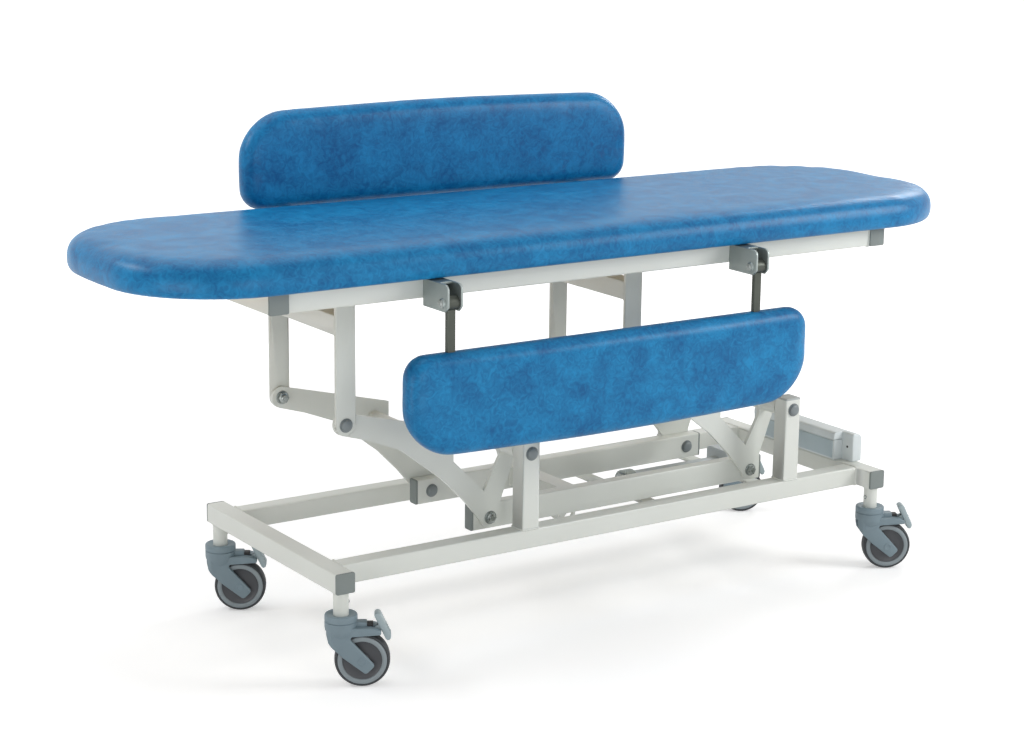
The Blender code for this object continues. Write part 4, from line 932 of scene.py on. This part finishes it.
def control_box():
    """Lid over a tray with a seam between, a panel on the face towards the lift, cap and screws."""
    low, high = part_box("control_box")
    seam, half_gap, inset = high.z - 0.017, 0.0004, 0.001
    big, small = 0.015, 0.006
    front, back, rim = low.x + inset, high.x - inset, seam - half_gap
    tray = plate("tray", "Y", [(front, low.z), (back, low.z), (back, rim), (front, rim)],
                 low.y, high.y)
    bevelled(tray, sharp, 0.0014, 3)
    upper = ([(low.x, seam + half_gap), (high.x, seam + half_gap)]
             + arc((high.x - big, high.z - big), big, 0, 90, 10)
             + arc((low.x + small, high.z - small), small, 90, 180, 6))
    lid = plate("lid", "Y", upper, low.y, high.y)
    bevelled(lid, lambda e: at("Y", low.y)(e) or at("Y", high.y)(e), 0.0016, 3)
    box = joined("control_box_finish", [lid, tray])
    finished(box, box_pale, "base", ("control_box",))
    face, margin = low.x - 0.0006, 0.005
    panel = slab("control_box_panel", (face, low.y + margin, low.z + 0.004),
                 (low.x + 0.004, high.y - margin, seam - 0.002))
    bevelled(panel, sharp, 0.0012, 3)
    finished(panel, box_panel, "base")
    cap_low, cap_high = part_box("control_box_cap")
    big, small, cap_face = 0.014, 0.004, cap_low.x + 0.002
    outline = ([(cap_face, cap_low.z), (cap_high.x, cap_low.z)]
               + arc((cap_high.x - big, cap_high.z - big), big, 0, 90, 10)
               + arc((cap_low.x + 0.006, cap_high.z - small), small, 90, 180, 5))
    cap = plate("control_box_cap_finish", "Y", outline, cap_low.y, cap_high.y)
    bevelled(cap, at("Y", cap_low.y), 0.003, 4)
    finished(cap, box_pale, "base", ("control_box_cap",))
    screws = []
    spots = [(cap_face, (cap_low.y + cap_high.y) / 2, (cap_low.z + cap_high.z) / 2)]
    spots += [(face, y, seam - 0.009) for y in (low.y + 0.115, high.y - 0.115)]
    for x, y, z in spots:
        screws.append(turned("screw", "X", [
            (0, x + 0.001), (0.0026, x + 0.001), (0.0026, x - 0.0004), (0.0018, x - 0.0008),
            (0, x - 0.0008)], (0, y, z), 24))
    finished(joined("control_box_screws", screws), black_and_shade, "base")


def drive():
    """Actuator, rod and saddle, with the saddle's bolts."""
    refined("actuator_body", drive_pale, 0.0012)
    refined("actuator_saddle", bracket_zinc, 0.0006)
    refined("actuator_rod", chrome, 0.0005)
    low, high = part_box("actuator_saddle")
    bolts = []
    x, seat = (low.x + high.x) / 2, low.z + 0.005
    top, corner, margin = seat + 0.0042, 0.0058, 0.007
    for y in (low.y + margin, high.y - margin):
        head = plate("head", "Z", hexagon(corner, x, y), seat, top)
        bolts.append(bevelled(head, at("Z", top), 0.0008, 2))
    finished(joined("saddle_bolts", bolts), zinc, "base")


# Padded top and side pads

def swollen(name, axis, outline, low, high, edges, voxel, limit, held):
    """A foam slab in its cover: rounded blank, remeshed, blown up by cloth pressure and held at spots.

    The edges are the roundings at low and high, and the pressure moves no point further than the
    limit.
    """
    blank = plate(name, axis, outline, low, high)
    for place, edge in zip((low, high), edges):
        bevelled(blank, at(axis, place), edge, 8)
    modified(blank, "REMESH", mode="VOXEL", voxel_size=voxel)
    modified(blank, "SMOOTH", factor=0.5, iterations=4)
    rest = [v.co.copy() for v in blank.data.vertices]
    group = blank.vertex_groups.new(name="held")
    group.add([i for i, co in enumerate(rest) if held(co)], 1.0, "REPLACE")
    step = blank.modifiers.new("Cover", "CLOTH")
    step.settings.quality = 5
    step.settings.mass = 0.4
    step.settings.use_pressure = True
    step.settings.uniform_pressure_force = 4.5
    step.settings.tension_stiffness = 30
    step.settings.compression_stiffness = 30
    step.settings.shear_stiffness = 10
    step.settings.bending_stiffness = 2.0
    step.settings.vertex_group_mass = "held"
    step.settings.effector_weights.gravity = 0
    step.collision_settings.use_collision = False
    scene = bpy.context.scene
    for number in range(CLOTH_FRAMES):
        scene.frame_set(number + 1)
    grown = blank.evaluated_get(bpy.context.evaluated_depsgraph_get())
    places = [v.co.copy() for v in grown.data.vertices]
    blank.modifiers.remove(step)
    scene.frame_set(1)
    for vertex, start, end in zip(blank.data.vertices, rest, places):
        move = end - start
        vertex.co = start + move * (limit / (limit + move.length))
    modified(blank, "SMOOTH", factor=0.5, iterations=5)
    return blank


def top_pad():
    """Foam top in its cover, stapled under the board's edge; its ends bow outwards."""
    low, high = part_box("top_pad")
    half_x, half_y = (high.x - low.x) / 2, (high.y - low.y) / 2
    longer, wider, higher, offset = 0.024, 0.002, 0.002, 0.006
    corner, bow = 0.200, 0.016
    outline = shifted(bowed_ends(half_x + longer, half_y + wider, corner, bow), offset, 0)
    staple, hem = 0.034, 0.04

    def held(co):
        flat = co.z < low.z + 0.004
        reach = (co.x + co.y * 0.7) % staple
        return flat and (reach < staple * 0.45 or abs(co.y) < half_y - hem)

    pad = swollen("top_pad_finish", "Z", outline, low.z, high.z + higher, edges=(0.016, 0.034),
                  voxel=0.007, limit=0.003, held=held)
    rim, pocket_corner, depth = 0.0335, 0.1185, 0.0154
    board = plate("pocket", "Z", rounded(half_x - rim, half_y - rim, pocket_corner, 12),
                  low.z - 0.02, low.z + depth)
    boolean(pad, board, "DIFFERENCE")
    finished(pad, hide, "upper", ("top_pad",), SOFT_ANGLE)
    refined("top_board", ply, 0.001)


def side_pads():
    """Pads whose free edge, and a little their ends, bow outwards."""
    free, hinged = 0.090, 0.038
    bow, end_bow = 0.0105, 0.005
    for side, free_way in SIDES.items():
        node = f"side_pad_{side}"
        low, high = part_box(node)
        middle = (low + high) / 2
        bottom, top = (free, hinged) if side == "near" else (hinged, free)
        half_x, half_z = (high.x - low.x) / 2 + 0.001, (high.z - low.z) / 2 + 0.002
        low_edge = -0.003 if side == "far" else 0.0
        outline = []
        for u, v in spaced(rounded(half_x, half_z, bottom, 16, top), 0.02):
            share = max(0, free_way * v / half_z)
            place = (u / half_x) ** 2
            u += math.copysign(end_bow * place ** 4 * (1 - (v / half_z) ** 2), u)
            v += free_way * bow * share * (1 - place) + (low_edge if v < 0 else 0.0)
            outline.append((middle.x + u, middle.z + v))

        def held(co):
            return abs(co.z - middle.z + free_way * half_z) < 0.004

        pad = swollen(f"{node}_finish", "Y", outline, low.y, high.y, edges=(0.0225, 0.0225),
                      voxel=0.0055, limit=0.003, held=held)
        finished(pad, hide, f"side_{side}", (node,), SOFT_ANGLE)


# Studio

def seen_rays(tree):
    """1 for the camera's rays and for those of mirror and glass, which see the white background."""
    paths = add(tree, "LightPath", {}, {})
    seen = paths.outputs["Is Camera Ray"]
    for ray in ("Is Glossy Ray", "Is Transmission Ray"):
        seen = add(tree, "Math", {"operation": "MAXIMUM"}, {0: seen, 1: paths.outputs[ray]}).outputs[0]
    return seen


def studio():
    """Camera, white surround, six soft lamps and a white floor."""
    scene = bpy.context.scene
    scene.view_settings.view_transform = "Standard"
    lens = bpy.data.cameras.new("camera")
    lens.sensor_width = 36.0
    lens.lens = 77.82
    lens.shift_x, lens.shift_y = -0.04373, -0.0047
    camera = bpy.data.objects.new("camera", lens)
    camera.location = (-2.3850, -3.5231, 1.4666)
    camera.rotation_euler = (1.3403, -0.0156, -0.6039)
    scene.collection.objects.link(camera)
    scene.camera = camera

    world = bpy.data.worlds.new("studio")
    scene.world = world
    world.use_nodes = True
    tree = world.node_tree
    level = add(tree, "MapRange", {}, {0: seen_rays(tree), 3: 0.36, 4: 1.0})
    tree.links.new(level.outputs[0], tree.nodes["Background"].inputs["Strength"])
    tree.nodes["Background"].inputs["Color"].default_value = (1, 1, 1, 1)

    for name, place, aim, size, power in (
            ("front_right", (2.2, -1.9, 1.7), (0.1, 0, 0.4), (1.1, 1.1), 41),
            ("front_low", (-0.4, -3.2, 0.6), (0, 0, 0.35), (1.6, 0.8), 13),
            ("back_right", (2.7, 1.0, 2.0), (0.2, 0, 0.6), (0.9, 0.7), 15),
            ("back_left", (-2.3, 1.1, 2.3), (-0.6, 0, 0.75), (1.4, 0.35), 20),
            ("overhead", (-0.5, 0.5, 3.0), (-0.1, 0, 0.8), (2.2, 2.2), 22),
            ("left", (-2.3, -1.0, 0.4), (-0.2, 0, 0.35), (0.9, 0.9), 8)):
        lamp = bpy.data.lights.new(name, "AREA")
        lamp.shape = "RECTANGLE"
        lamp.size, lamp.size_y = size
        lamp.energy = power
        item = bpy.data.objects.new(name, lamp)
        item.location = place
        item.rotation_euler = (Vector(aim) - Vector(place)).to_track_quat("-Z", "Y").to_euler()
        scene.collection.objects.link(item)

    deselect()
    bpy.ops.mesh.primitive_plane_add(size=40, location=(0, 0, 0))
    floor = bpy.context.object
    floor.name = "floor"
    material, tree, shader, coords = started("floor_white")
    shader.inputs["Base Color"].default_value = (0.86, 0.86, 0.86, 1)
    shader.inputs["Roughness"].default_value = 0.9
    shader.inputs["Specular IOR Level"].default_value = 0.0
    near, far, near_glow = 1.2, 3.0, 0.38
    away = add(tree, "VectorMath", {"operation": "LENGTH"}, {0: coords})
    white = add(tree, "MapRange", {}, {0: away.outputs["Value"], 1: near, 2: far, 3: near_glow, 4: 1.0})
    lift = add(tree, "Math", {"operation": "MULTIPLY"}, {0: white.outputs[0], 1: seen_rays(tree)})
    tree.links.new(lift.outputs[0], shader.inputs["Emission Strength"])
    shader.inputs["Emission Color"].default_value = (1, 1, 1, 1)
    floor.data.materials.append(material)


frame_and_welds()
tube_caps()
pivots_and_bolts()
castors()
brackets_and_arms()
control_box()
drive()
top_pad()
side_pads()
studio()
